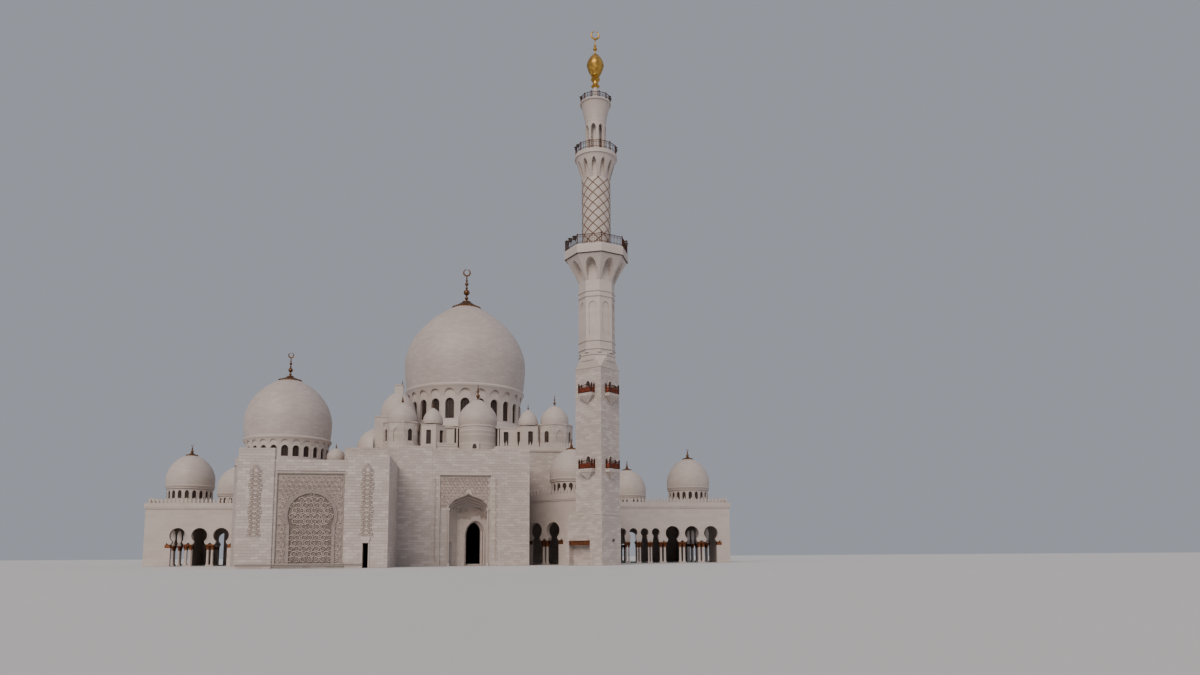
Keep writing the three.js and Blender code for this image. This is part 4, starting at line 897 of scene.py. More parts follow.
def centre_group(gilt):
    """The dome on a brick drum in the middle of the row, and the low walls and posts on both its sides."""
    y = GROUP_Y
    axis = (2.5, y)
    front = y - 1.25
    low, high = 26.5, 31.0
    drum, walls, dark, vent = Shape(axis), Shape(axis), Shape(axis), Shape(axis)
    drum.turn([(4.2, HIGH_ROOF), (4.2, 31.0), (4.32, 31.1), (4.32, 31.4), (4.22, 31.5)], 72)
    drum.build("centre_drum", wall_stone, "marble", 28.0, replaces="centre_dome")
    face = wall_at(front)
    window = pointed(0.56, 27.0, 30.05, 30.2)
    for u0, u1 in ((-6.1, -3.0), (5.3, 11.2)):
        walls.box(u0, u1, y + 0.9, y + 1.2, HIGH_ROOF, high)
        walls.box(u0 - 0.1, u1, front - 0.12, y + 1.2, 30.95, 31.22)
        walls.box(u0 - 0.1, u1, front - 0.12, y + 1.2, HIGH_ROOF, 26.6)
    walls.box(-4.6, -2.75, front + 0.25, y + 1.0, low, high)
    bay(walls, window, 8.97, (7.85, 11.4, low, high), 0.0, 0.3, face)
    rim(walls, window, 8.97, face, 0.16, 0.05)
    infill(dark, window, 8.97, 0.28, face)
    for u, wide in ((-2.15, 0.16), (-1.45, 0.2), (5.75, 0.42), (7.18, 0.15), (7.72, 0.16)):
        walls.box(u - wide, u + wide, front, front + 0.6, low, high)
    # Dark plates behind the slots between the posts paint their shade.
    for u0, u1 in ((-2.8, -1.0), (5.4, 7.9)):
        dark.box(u0, u1, front + 0.55, front + 0.6, low, 30.95)
    walls.build("centre_side_walls", fine_stone, "marble", 28.0)
    place = wrapped(4.32, axis, radians(-9))
    vent.box(-1.0, 1.0, -0.3, 0.1, HIGH_ROOF, 27.3, place)
    vent.build("centre_drum_vent", fine_stone, "marble", 26.0)
    # A dark arch on the vent paints the shade of its opening.
    infill(dark, pointed(0.42, 25.9, 26.3, 26.95), 0.0, -0.32, place)
    dark.build("centre_openings", glass_and_painted_shade, "bronze", 28.0)
    dome_skin("centre_dome_skin", axis, dome_curve(4.47, 4.25, 31.45, 32.8, 37.9, 24, 1.5), 80, 31.6)
    small_finial(gilt, axis, 37.85, 41.7, 0.45)


def roof_group():
    gilt = Shape((2.9, GROUP_Y))
    turrets(gilt)
    lanterns(gilt)
    centre_group(gilt)
    # The roof finials are in the gilding darkened as painted shade.
    gilt.build("roof_finials", painted_shade_gilding, "gold", 36.0, 50.0)


def half_domes():
    """The round dome on its square base, with a block on its crown, and the lower half dome."""
    x, y = SIDE_DOME
    dome_skin("side_dome_skin", SIDE_DOME, dome_curve(4.5, 4.45, 37.0, 37.8, 43.9, 21), 72, 38.0,
              replaces="half_dome_upper")
    base = Shape(SIDE_DOME)
    base.box(x - 5.4, x + 2.8, y - 4.6, y + 4.6, HIGH_ROOF, 36.6)
    base.box(x - 5.5, x + 2.8, y - 4.7, y + 4.7, 36.6, 37.0)
    base.turn([(4.6, 37.0), (4.6, 37.25), (4.45, 37.3)], 72)
    base.box(x - 0.9, x + 1.2, y - 1.1, y + 1.1, 42.4, 45.5)
    base.box(x - 1.0, x + 1.3, y - 1.2, y + 1.2, 45.5, 45.7)
    base.build("side_dome_base", fine_stone, "marble", 30.0)

    x, y = HALF_DOME
    lower, hole = Shape(HALF_DOME), Shape(HALF_DOME)
    curve = [(4.15, HIGH_ROOF)] + dome_curve(4.15, 4.15, 25.5, 25.9, 31.1, 21)
    angles = [radians(a) for a in range(90, 271, 6)]
    lower.grid([[(x + radius * cos(a), y + radius * sin(a), z) for a in angles] for radius, z in curve])
    lower.box(x - 0.02, x + 2.0, y - 3.3, y + 3.3, HIGH_ROOF, 30.5)
    lower.build("lower_half_dome", fine_stone, "marble", 28.0, 60.0, "half_dome_lower")
    hole.box(-19.9, -19.3, y - 3.34, y - 3.2, 25.5, 26.3)
    hole.build("lower_half_dome_opening", glass_and_painted_shade, "bronze", 26.0)


def small_domes():
    crown, gilt = Shape(SMALL_DOME), Shape(SMALL_DOME)
    crown.turn([(1.9, LOW_ROOF), (1.84, 22.4), (1.95, 22.5), (1.95, 22.7), (1.86, 22.75)], 48)
    crown.turn(dome_curve(2.0, 1.86, 22.7, 23.5, 25.5, 15), 48)
    crown.build("small_dome_skin", lesser_dome_stone, "marble", 23.0, 50.0, "small_dome")
    small_finial(gilt, SMALL_DOME, 25.45, 26.7, 0.2)
    small_finial(gilt, SIDE_FINIAL, 45.7, 47.2, 0.22)
    # These finials are in the gilding darkened as painted shade.
    gilt.build("small_finials", painted_shade_gilding, "gold", 25.0, 50.0)


def roof_edges():
    """The ledge and the merlons on the high roof's front, and the plain parapet left of the centre dome."""
    left, right, y = 6.4, 24.2, -45.2
    slab = 25.9
    edge = Shape((left, y))
    edge.box(left, right, y, y + 0.35, HIGH_ROOF, slab)
    edge.box(left - 0.3, right + 0.3, -46.3, y + 0.2, 25.15, slab)
    edge.box(left - 0.3, right + 0.3, -46.2, y, 24.95, 25.15)
    crenel(edge, right - left, placed(left, y - 0.9), 0.6, slab)
    edge.build("roof_edge_right", fine_stone, "marble", 26.0, 45.0, "roof_railing")
    left, right = -6.3, -2.1
    low = Shape((left, y))
    low.box(left, right, y - 0.3, y + 0.2, HIGH_ROOF, 26.5)
    for z0, z1 in ((26.5, 26.75), (HIGH_ROOF + 0.55, HIGH_ROOF + 0.7)):
        low.box(left - 0.12, right + 0.12, y - 0.42, y + 0.32, z0, z1)
    low.build("roof_edge_left", fine_stone, "marble", 26.0, replaces="roof_railing_left")


# Minaret, turned so that one corner faces the front
SQUARE = {"half": 2.975, "top": 37.0}
TOWER = {"apothem": 3.25, "foot": 39.9, "top": 54.0}
GALLERY_1 = {"flat": 5.8, "corbel": 58.6, "floor": 60.4, "rail": 62.3}
LATTICE = {"radius": 2.72, "bottom": 60.4, "top": 75.0}
GALLERY_2 = {"radius": 4.2, "corbel": 79.3, "floor": 80.2, "rail": 81.8}
STAGE = {"radius": 2.05, "top": 86.9}
GALLERY_3 = {"radius": 3.1, "corbel": 90.9, "floor": 91.3, "rail": 92.4}
CORNER = 1 / cos(pi / 8)
BASE_HALF = 3.035
BALCONY_FLOORS = (17.8, 32.1)


def square_sides(apothem):
    """The four sides of the square shaft or of the base, from the front left one."""
    return [faceted(apothem, degrees, MINARET_AXIS) for degrees in (-45, 45, 135, 225)]


def octagon_shaft():
    shape = Shape(MINARET_AXIS)
    x, y = MINARET_AXIS
    a = TOWER["apothem"]
    corner = a * CORNER
    half = a * tan(pi / 8)
    shape.turn([(corner, 38.4), (corner, TOWER["foot"])], 8)
    arch = pointed(0.75, 43.4, 48.9, 49.9)
    for k in range(8):
        place = faceted(a, -22.5 + 45 * k, MINARET_AXIS)
        bay(shape, arch, 0.0, (-half, half, TOWER["foot"], TOWER["top"]), 0.0, 0.16, place)
        infill(shape, arch, 0.0, 0.16, place)
    square = SQUARE["half"] * sqrt(2)
    low = SQUARE["top"]
    angles = [TURN * (k - 1) / 4 for k in range(4)]
    corners = [(x + square * cos(t), y + square * sin(t), low) for t in angles]
    angles = [TURN * (k + 0.5) / 8 for k in range(8)]
    ring = [(x + corner * cos(t), y + corner * sin(t), 39.3) for t in angles]
    for k in range(4):
        first, second, third = [ring[(2 * k + i) % 8] for i in (-3, -2, -1)]
        shape.add([corners[k], first, second], [(0, 1, 2)])
        shape.add([corners[k], second, third, corners[(k + 1) % 4]], [(0, 1, 2, 3)])
    for z, start in ((39.5, 0.5), (40.6, 0.0), (42.2, 0.0), (50.9, 0.0), (51.9, 0.0)):
        band = ((0.0, -0.16), (0.17, -0.1), (0.2, 0.0), (0.12, 0.14), (0.0, 0.2))
        shape.turn([(corner + out, z + rise) for out, rise in band], 8, start=start)
    shape.turn([(square + 0.05, low - 0.08), (square + 0.16, low), (square - 0.05, low + 0.1)], 4, start=0.0)
    shape.build("octagon_shaft_skin", fine_stone, "marble", 45.0, 25.0, "minaret_octagon_shaft")


def octagon_gallery():
    shape, dark_ring = Shape(MINARET_AXIS), Shape(MINARET_AXIS)
    g = GALLERY_1
    a = TOWER["apothem"]
    corbel, floor = g["corbel"], g["floor"]
    flare_ring(shape, 8, a, TOWER["top"], g["flat"] - 0.25, corbel, 0.62, 0.86, 1.15, rows=5, prism=True,
               back=a - 0.02, degrees=-22.5)
    r = g["flat"] * CORNER
    shape.turn([(r - 0.3, corbel), (r, corbel + 0.1), (r, floor - 0.15), (r - 0.08, floor), (2.0, floor)], 8,
               start=0.0)
    shape.build("octagon_gallery", fine_stone, "marble", 57.0, 25.0, "minaret_gallery_1")
    # A dark ring where the corbels meet the slab.
    dark_ring.turn([(r - 0.2, corbel - 0.06), (r - 0.02, corbel + 0.04), (r - 0.02, corbel + 0.12)], 8,
                start=0.0)
    dark_ring.build("octagon_gallery_dark_ring", grille_dark_and_painted_shade, "bronze", 57.0)


def railing(name, radius, gallery, sides, posts, start, replaces, bars_between):
    """A bronze railing of posts, three rails and thin bars on a round or many-sided line."""
    x, y = MINARET_AXIS
    floor, top = gallery["floor"], gallery["rail"]
    shape = Shape(MINARET_AXIS)
    angles = [TURN * (i + start) / sides for i in range(sides)]
    corners = [(x + radius * cos(a), y + radius * sin(a)) for a in angles]
    for z, thick in ((top - 0.07, 0.07), (floor + 0.35, 0.045), (top - 0.45, 0.035)):
        shape.tube([(*corner, z) for corner in corners + corners[:1]], thick)
    for i in range(sides):
        p, q = corners[i], corners[(i + 1) % sides]
        if i % (sides // posts) == 0:
            shape.turn([(0.13, floor), (0.13, floor + 0.2), (0.09, floor + 0.3), (0.09, top - 0.1),
                        (0.14, top), (0.1, top + 0.16), (0.0, top + 0.22)], 8, axis=p)
        for k in range(1, bars_between):
            t = k / bars_between
            u, v = p[0] + (q[0] - p[0]) * t, p[1] + (q[1] - p[1]) * t
            shape.tube([(u, v, floor), (u, v, top - 0.08)], 0.035, 4)
    shape.build(name, rail_bronze, "bronze", floor, 50.0, replaces)


def lattice_shaft():
    x, y = MINARET_AXIS
    r, low, high = LATTICE["radius"], LATTICE["bottom"], LATTICE["top"]
    shape, lines = Shape(MINARET_AXIS), Shape(MINARET_AXIS)
    shape.turn([(r, low), (r, high)], 72)
    shape.build("lattice_core", fine_stone, "marble", 67.0, replaces="minaret_lattice_shaft")
    lead = 16.5
    heights = [low + (high - low) * i / 46 for i in range(47)]
    for way in (-1, 1):
        for k in range(8):
            turns = [(TURN * (k / 8 + way * (z - low) / lead), z) for z in heights]
            lines.tube([(x + r * cos(a), y + r * sin(a), z) for a, z in turns], 0.1, 5)
    lines.build("lattice_ribs", lattice_brown, "marble", 67.0, 60.0)


def round_gallery():
    g = GALLERY_2
    r, corbel, floor = g["radius"], g["corbel"], g["floor"]
    shape = Shape(MINARET_AXIS)
    flare_ring(shape, 12, LATTICE["radius"] + 0.02, LATTICE["top"], r - 0.22, corbel, 0.6, 0.84, 1.1, 0.5, 4,
               back=LATTICE["radius"] - 0.05)
    shape.turn([(r - 0.25, corbel), (r, corbel + 0.08), (r, floor - 0.1), (r - 0.08, floor), (1.2, floor)],
               72)
    shape.build("round_gallery", fine_stone, "marble", 78.0, 35.0, "minaret_gallery_2")


def arched_stage():
    """The stage with arched openings, the top gallery and the gilded neck over it."""
    shape, neck, top = Shape(MINARET_AXIS), Shape(MINARET_AXIS), Shape(MINARET_AXIS)
    r, high = STAGE["radius"], STAGE["top"]
    half = TURN * r / 16
    arch = pointed(0.53, 80.9, 85.4, 86.3)
    for k in range(8):
        place = wrapped(r, MINARET_AXIS, TURN * (k + 0.5) / 8)
        bay(shape, arch, 0.0, (-half, half, 80.2, 86.95), 0.0, 0.4, place, 2, rear=True)
    shape.turn([(0.95, 80.2), (0.95, 86.8)], 32)
    shape.build("arched_stage_skin", fine_stone, "marble", 83.0, 35.0, "minaret_arched_stage")
    g = GALLERY_3
    edge, corbel, floor = g["radius"], g["corbel"], g["floor"]
    shares = [i / 8 for i in range(9)]
    flare = [(r + 0.02 + (edge - 0.25 - r) * t ** 1.35, high + (corbel - high) * t) for t in shares]
    top.turn(flare + [(edge, corbel + 0.06), (edge, floor - 0.06), (edge - 0.06, floor), (1.2, floor),
                      (1.05, 92.0), (0.7, 92.5), (0.52, 92.9), (0.5, 94.6)])
    neck.turn([(0.5, 94.6), (0.62, 94.75), (0.86, 95.05), (0.62, 95.35), (0.5, 95.5), (0.5, 96.0),
               (0.7, 96.15), (0.95, 96.5), (0.7, 96.85), (0.5, 97.0)], 48)
    neck.build("minaret_neck", gold, "gold", 95.0, 35.0)
    top.build("top_gallery", fine_stone, "marble", 92.0, 35.0, "minaret_gallery_3")


def minaret_crown():
    """The gilded bulb, which is widest at 0.4 of its height, with two balls and a crescent."""
    shape = Shape(MINARET_AXIS)
    line = [(0.5, 97.0), (0.62, 97.12), (0.86, 97.25)]
    wide = 0.4
    for i in range(15):
        t = i / 14
        below = 0.86 + 0.74 * sin(t / wide * pi / 2)
        above = 1.6 * (1 - max(0.0, (t - wide) / 0.6) ** 1.9) ** 0.9 + 0.14
        line.append((below if t < wide else above, 97.35 + 4.75 * t))
    line += [(0.16, 102.3), (0.12, 102.6)]
    for z, r in ((103.05, 0.36), (103.75, 0.24)):
        line += [(r * cos(a) + 0.06, z + r * sin(a)) for a in (-1.3, -0.7, 0.0, 0.7, 1.3)]
        line.append((0.1, z + r * 1.1))
    shape.turn(line + [(0.1, 104.9), (0.24, 105.1), (0.1, 105.25), (0.0, 105.3)], 40)
    moon(shape, 106.1, 0.9)
    shape.build("minaret_crown", gold, "gold", 99.0, 50.0, "minaret_finial")


def balconies():
    """Bronze rails with rust-red panels, on the slabs of the square shaft."""
    posts, panels = Shape(MINARET_AXIS), Shape(MINARET_AXIS)
    out, side = -0.9, 1.48
    for floor in BALCONY_FLOORS:
        top = floor + 1.35
        low, high = floor + 0.12, floor + 1.0
        for place in square_sides(SQUARE["half"]):
            for u, d in ((-side, out), (side, out), (-side, -0.12), (side, -0.12)):
                posts.box(u - 0.12, u + 0.12, d - 0.12, d + 0.12, floor, top + 0.3, place)
                posts.box(u - 0.07, u + 0.07, d - 0.07, d + 0.07, top + 0.3, top + 0.5, place)
            shares = [i / 10 - 1 for i in range(21)]
            crest = [(side * t, out, top + 0.22 * max(0.0, 1 - abs(t) * 1.6)) for t in shares]
            posts.tube(crest, 0.06, 6, place)
            for u in (-side, side):
                posts.tube([(u, out, top), (u, 0.0, top)], 0.06, 6, place)
                panels.box(u - 0.03, u + 0.03, out, -0.1, low, high, place)
            panels.box(-side, side, out - 0.03, out + 0.03, low, high, place)
            for i in range(1, 12):
                u = -side + 2 * side * i / 12
                posts.box(u - 0.035, u + 0.035, out - 0.07, out - 0.02, floor + 0.05, top, place)
            posts.box(-side, side, out - 0.08, out + 0.02, floor + 0.02, floor + 0.16, place)
    posts.build("balcony_rails", rail_bronze, "bronze", 25.0)
    panels.build("balcony_panels", rust, "bronze", 25.0)


def door_surrounds():
    """Pale surrounds at the balcony doors, the base's ledge, lintel and lamp, and painted shadow in its
    passage.
    """
    shape, lintel, door = Shape(MINARET_AXIS), Shape(MINARET_AXIS), Shape(MINARET_AXIS)
    for floor in BALCONY_FLOORS:
        for place in square_sides(SQUARE["half"]):
            rim(shape, pointed(0.5, floor, floor + 1.8, floor + 2.4), 0.0, place, 0.22, 0.08)
    sides = square_sides(BASE_HALF)
    for place in sides:
        shape.box(-3.1, 3.1, -0.07, 0.0, 9.3, 9.62, place)
    shape.build("minaret_trim", fine_stone, "marble", 20.0)
    left, right = sides[:2]
    lintel.box(-4.5, 0.28, -0.1, 0.5, 3.7, 4.5, left)
    lintel.box(-4.55, 0.33, -0.16, 0.5, 4.4, 4.56, left)
    lintel.build("passage_lintel", capital_bronze, "gold", 4.0)
    # A dark panel deep in the passage paints the shadow inside it.
    door.box(-0.35, 0.22, 1.2, 1.33, 0.0, 3.68, left)
    door.box(0.3, 0.62, -0.22, 0.0, 4.3, 4.75, right)
    door.box(0.36, 0.56, -0.38, -0.2, 4.62, 4.85, right)
    door.build("passage_painted_shadow_and_lamp", grille_dark_and_painted_shade, "bronze", 2.0)


def floodlights():
    """The dark lamps that stand at the ends of the galleries."""
    shape = Shape(MINARET_AXIS)
    for radius, z, size, turns in ((5.75, 61.9, 0.34, (-82, -68, -54, 66, 78, 90)),
                                   (3.95, 81.5, 0.27, (-86, -70, 70, 84)), (2.9, 92.2, 0.24, (-84, 66, 82))):
        for degrees in turns:
            place = faceted(radius, degrees, MINARET_AXIS)
            shape.tube([(0.0, 0.1, z - 0.6), (0.0, 0.0, z)], size * 0.18, 6, place)
            body = ((-1.0, -0.7), (1.0, -0.7), (0.8, 0.8), (-0.8, 0.8))
            visor = ((-1.1, 0.75), (1.1, 0.75), (0.9, 1.0), (-0.9, 1.0))
            for outline, out in ((body, 0.9), (visor, 1.4)):
                shape.prism([(size * u, z + size * v) for u, v in outline], -size * out, size * 0.5, place)
    shape.build("gallery_floodlights", grille_dark_and_painted_shade, "bronze", 75.0)


def minaret():
    octagon_shaft()
    octagon_gallery()
    lattice_shaft()
    round_gallery()
    arched_stage()
    minaret_crown()
    railing("octagon_railing", GALLERY_1["flat"] * CORNER - 0.2, GALLERY_1, 8, 8, 0.0, "minaret_railing_1",
            14)
    railing("round_railing", GALLERY_2["radius"] - 0.16, GALLERY_2, 48, 12, 0.5, "minaret_railing_2", 2)
    railing("top_railing", GALLERY_3["radius"] - 0.12, GALLERY_3, 36, 12, 0.5, "minaret_railing_3", 2)
    balconies()
    door_surrounds()
    floodlights()


# Carving: low relief in scrolls, leaves and rosettes. The field and the strips are on the left block.
# The relief's lighter stone paints light on it, and the darker plates behind it paint the shade of its
# hollows.
FIELD_FRONT = -88.0
FIELD_FACE = -87.975
BAND_FACE = -88.17
LEAF_FACE = -88.16
STRIP_FRONT = -88.4
FIELD_MIDDLE = -25.3
FIELD_ARCH = 8.65
LEAF = ((0.0, 0.0, 0.0), (0.3, 0.8, 0.0), (0.6, 0.75, 0.0), (1.0, 0.0, 0.0), (0.6, -0.75, 0.0),
        (0.3, -0.8, 0.0), (0.12, 0.0, 0.6), (0.5, 0.0, 1.0))
LEAF_FACES = ((0, 6, 1), (1, 6, 7, 2), (2, 7, 3), (3, 7, 4), (4, 7, 6, 5), (5, 6, 0))


def ribbon(shape, path, wide, tall, place):
    """A raised line with a ridge, along points of (along, z) on a wall. It tapers toward its end."""
    left, ridge, right = [], [], []
    n = len(path) - 1
    for i, (u, z) in enumerate(path):
        du, dz = across(path, i)
        w = wide * (1 - 0.55 * i / n)
        left.append((u + du * w, 0.0, z + dz * w))
        ridge.append((u, -tall * (1 - 0.4 * i / n), z))
        right.append((u - du * w, 0.0, z - dz * w))
    shape.grid([left, ridge, right], place=place)


def leaf(shape, u, z, angle, size, tall, place, slim=0.42):
    """A pointed leaf with a raised midrib."""
    c, s = cos(angle), sin(angle)
    points = [(a * size, b * size * slim, -tall * rise) for a, b, rise in LEAF]
    shape.add([(u + a * c - b * s, d, z + a * s + b * c) for a, b, d in points], LEAF_FACES, place)


def rosette(shape, u, z, size, tall, place, petals, start=0.0):
    for k in range(petals):
        leaf(shape, u, z, start + TURN * k / petals, size, tall, place, 0.5)
    angles = [TURN * i / 8 for i in range(8)]
    ring = [(u + size * 0.26 * cos(a), -tall * 0.7, z + size * 0.26 * sin(a)) for a in angles]
    shape.add(ring + [(u, -tall * 1.35, z)], [(i, (i + 1) % 8, 8) for i in range(8)], place)


def scroll(shape, u, z, size, start, hand, tall, place, turns=1.35):
    """A spiral tendril with leaves on its outer side and a rosette at its heart."""
    steps = 26
    path = []
    for i in range(steps + 1):
        t = i / steps
        reach = size * (1 - 0.74 * t)
        angle = start + hand * TURN * turns * t
        path.append((u + reach * cos(angle), z + reach * sin(angle)))
    ribbon(shape, path, size * 0.2, tall, place)
    for k in range(4):
        i = int(steps * (0.06 + 0.13 * k))
        (u0, z0), (u1, z1) = path[i], path[i + 1]
        along = atan2(z1 - z0, u1 - u0)
        leaf(shape, u0, z0, along - hand * 0.9, size * 0.5, tall * 0.9, place)
    rosette(shape, u, z, size * 0.3, tall, place, 5, start)


def filled(shape, inside, rect, size, tall, place, middle):
    """Fills a region with mirrored rows of scrolls, and with leaves between them."""
    u0, u1, z0, z1 = rect
    step = size * 2.05
    rise = step * 0.87
    for j in range(int((z1 - z0) / rise) + 1):
        z = z0 + size + j * rise
        shift = 0.5 if j % 2 else 0.0
        for i in range(-12, 13):
            u = middle + (i + shift) * step
            if u < u0 or u > u1 or not inside(u, z, size):
                continue
            hand = 1 if u > middle else -1
            if i % 2:
                hand = -hand
            scroll(shape, u, z, size, pi / 2 - hand * (0.6 + 0.4 * (j % 3)), hand, tall, place)
            gap = (u + step / 2, z + step * 0.29)
            if inside(*gap, size * 0.3):
                for turn in (0.0, 2.1, 4.2):
                    leaf(shape, *gap, pi / 2 + turn, size * 0.42, tall * 0.8, place)


def field_inside(u, z, room):
    """Inside the great arch of the carved field."""
    if z - room * 0.6 < 0.9:
        return False
    if z > 6.4:
        return hypot(u - FIELD_MIDDLE, z - FIELD_ARCH) < 3.78 - room * 0.5
    return abs(u - FIELD_MIDDLE) < 3.43 - room * 0.5


def field_outside(u, z, room):
    """In the field, but outside the band of its arch."""
    edge = room * 0.7
    if not (-30.72 + edge < u < -20.28 - edge and 0.9 + edge < z < 15.5 - edge):
        return False
    if z > 6.0:
        return hypot(u - FIELD_MIDDLE, z - FIELD_ARCH) > 4.2 + room * 0.5
    return abs(u - FIELD_MIDDLE) > 3.85 + room * 0.5


def strip_half(z, bottom, top):
    """Half the width of a carved strip, which swells like a row of vases and has a pointed head."""
    t = (z - bottom) / (top - bottom)
    if t > 0.86:
        return 1.2 * sqrt(max(0.0, (1 - t) / 0.14))
    return 1.2 - 0.35 * abs(sin(t * 9.0))


def carved_strip(shape, shade_plate, middle, bottom, top, place):
    """A tall carved strip: a stem with pairs of scrolls and leaves, on a plate of painted shade."""
    tall = 0.2
    heights = [bottom + (top - bottom) * i / 40 for i in range(41)]
    halves = [strip_half(z, bottom, top) for z in heights]
    shade_plate.grid([[(middle + side * half, -0.012, z) for half, z in zip(halves, heights)] for side in (-1, 1)],
                place=place)
    ribbon(shape, [(middle, z) for z in heights[::2]], 0.09, tall, place)
    count = 15
    for i in range(count):
        z = bottom + (top - bottom) * (i + 0.5) / (count + 0.7)
        half = strip_half(z, bottom, top)
        for side in (-1, 1):
            start = -side * 0.4 + (0 if side > 0 else pi)
            scroll(shape, middle + side * half * 0.5, z, half * 0.36, start, -side, tall, place, 1.2)
            leaf(shape, middle, z - 0.25, pi / 2 - side * 0.85, 0.5, tall, place)
            leaf(shape, middle + side * half * 0.98, z, pi / 2 + side * 1.2, 0.42, tall, place)
    rosette(shape, middle, top - 1.1, 0.42, tall, place, 8)


def carvings():
    """The carved field with its frame, the two carved strips, and the bracket over the slit door."""
    axis = (FIELD_MIDDLE, FIELD_FRONT)
    face = wall_at(FIELD_FACE)
    field, band, shade_plate = Shape(axis), Shape(axis), Shape(axis)
    shade, strips = Shape((-25.0, STRIP_FRONT)), Shape((-25.0, STRIP_FRONT))
    outer, inner = [horseshoe(half, half + 0.35, FIELD_ARCH, 0.8, half, 24) for half in (3.85, 3.4)]
    # Plates of painted shade behind the relief: a darker one in the field outside the arch, a near-black one
    # inside it.
    shade.box(-30.76, -20.24, FIELD_FACE - 0.003, -87.9, 0.84, 15.56)
    infill(shade_plate, inner, FIELD_MIDDLE, -0.012, face)
    filled(field, field_inside, (-29.4, -21.2, 0.9, 12.7), 0.5, 0.28, face, FIELD_MIDDLE)
    filled(field, field_outside, (-30.7, -20.3, 0.9, 15.4), 0.4, 0.22, face, FIELD_MIDDLE)

    outer, inner = shifted(outer, FIELD_MIDDLE), shifted(inner, FIELD_MIDDLE)
    lines = [[(u, BAND_FACE, z) for u, z in line] for line in (outer, inner)]
    # A plate of painted shade on the band, between its two lines.
    shade.grid(lines)
    for i in range(2, len(outer) - 2):
        p, q, after = outer[i], inner[i], outer[i + 1]
        way = atan2(after[1] - p[1], after[0] - p[0])
        for turn in (-0.5, 0.5):
            leaf(band, (p[0] + q[0]) / 2, (p[1] + q[1]) / 2, way + turn, 0.34, 0.1, wall_at(LEAF_FACE))
    for line in lines:
        band.tube(line, 0.05)
    for u in (-30.85, -20.15):
        band.tube([(u, LEAF_FACE, z) for z in (0.7, 15.7)], 0.09)
    for z, thick in ((15.7, 0.1), (16.1, 0.06)):
        band.tube([(u, BAND_FACE - 0.01, z) for u in (-31.0, -20.0)], thick)
    for z in (0.35, 0.62):
        band.box(-36.95, -16.9, -88.5, -88.3, z, z + 0.12)
    band.build("carved_field_frame", painted_shade_stone, "ashlar", 8.0, 50.0)

    field.build("carved_field", relief_painted_light_stone, "ashlar", 8.0, 70.0)
    place = wall_at(STRIP_FRONT)
    carved_strip(strips, shade, -34.15, 5.2, 17.1, place)
    carved_strip(strips, shade, -16.3, 5.4, 17.4, place)
    strips.build("carved_strips", relief_painted_light_stone, "ashlar", 10.0, 70.0)
    shade.build("carved_painted_shade_plates", painted_shade_stone, "ashlar", 10.0)
    shade_plate.build("carved_arch_painted_shade", deep_painted_shade_stone, "ashlar", 8.0)
    bracket = Shape((-16.4, STRIP_FRONT))
    bracket.prism([(-17.1, 5.1), (-17.25, 5.0), (-17.0, 4.5), (-16.95, 4.12), (-15.85, 4.12), (-15.8, 4.5),
                   (-15.55, 5.0), (-15.7, 5.1)], -88.62, -88.36)
    for u in (-16.98, -15.82):
        bracket.box(u - 0.12, u + 0.12, -88.5, -88.35, 0.0, 4.15)
    bracket.build("slit_door_bracket", fine_stone, "ashlar", 4.5)


# Portal
PORTAL_FRONT = -70.0
RECESS = -69.6
NICHE_COLUMNS = -69.75
NICHE_LEFT = -3.3
NICHE_BACK = -65.2
NICHE_MIDDLE = 0.5
DOOR_MIDDLE = 1.95
HOOD = ((1.0, 0.0), (0.93, 0.3), (0.76, 0.55), (0.5, 0.72), (0.22, 0.83), (0.0, 1.0))


def hood_line(bottom, spring, peak, grow):
    """The outline of the hooded niche, grown outwards."""
    half = 3.8 + grow
    rise = peak - spring + grow * 0.8
    sides = [(-a, b) for a, b in HOOD] + list(reversed(HOOD[:-1]))
    head = [(NICHE_MIDDLE + half * a, spring + rise * b) for a, b in sides]
    return [(head[0][0], bottom)] + head + [(head[-1][0], bottom)]


def frame_inside(u, z, room):
    """In the recessed frame, but outside the hood of the niche."""
    if not (-4.8 + room < u < 4.7 - room and 9.0 < z < 17.2 - room):
        return False
    off = abs(u - NICHE_MIDDLE)
    return z > 14.3 + room or z > 14.0 + room * 0.6 - off * 0.72 + max(0.0, 0.4 - off)


def back_inside(u, z, room):
    """On the back wall of the niche, above and beside its doorway."""
    if not (-1.5 + room < u < 4.2 - room and 1.0 < z < 11.6 - room):
        return False
    if z > 9.2 + room:
        return True
    off = abs(u - DOOR_MIDDLE)
    if z > 6.2:
        return off > 2.5 * sqrt(max(0.0, 1 - ((z - 6.2) / 3.2) ** 2)) + room
    return off > 2.6 + room


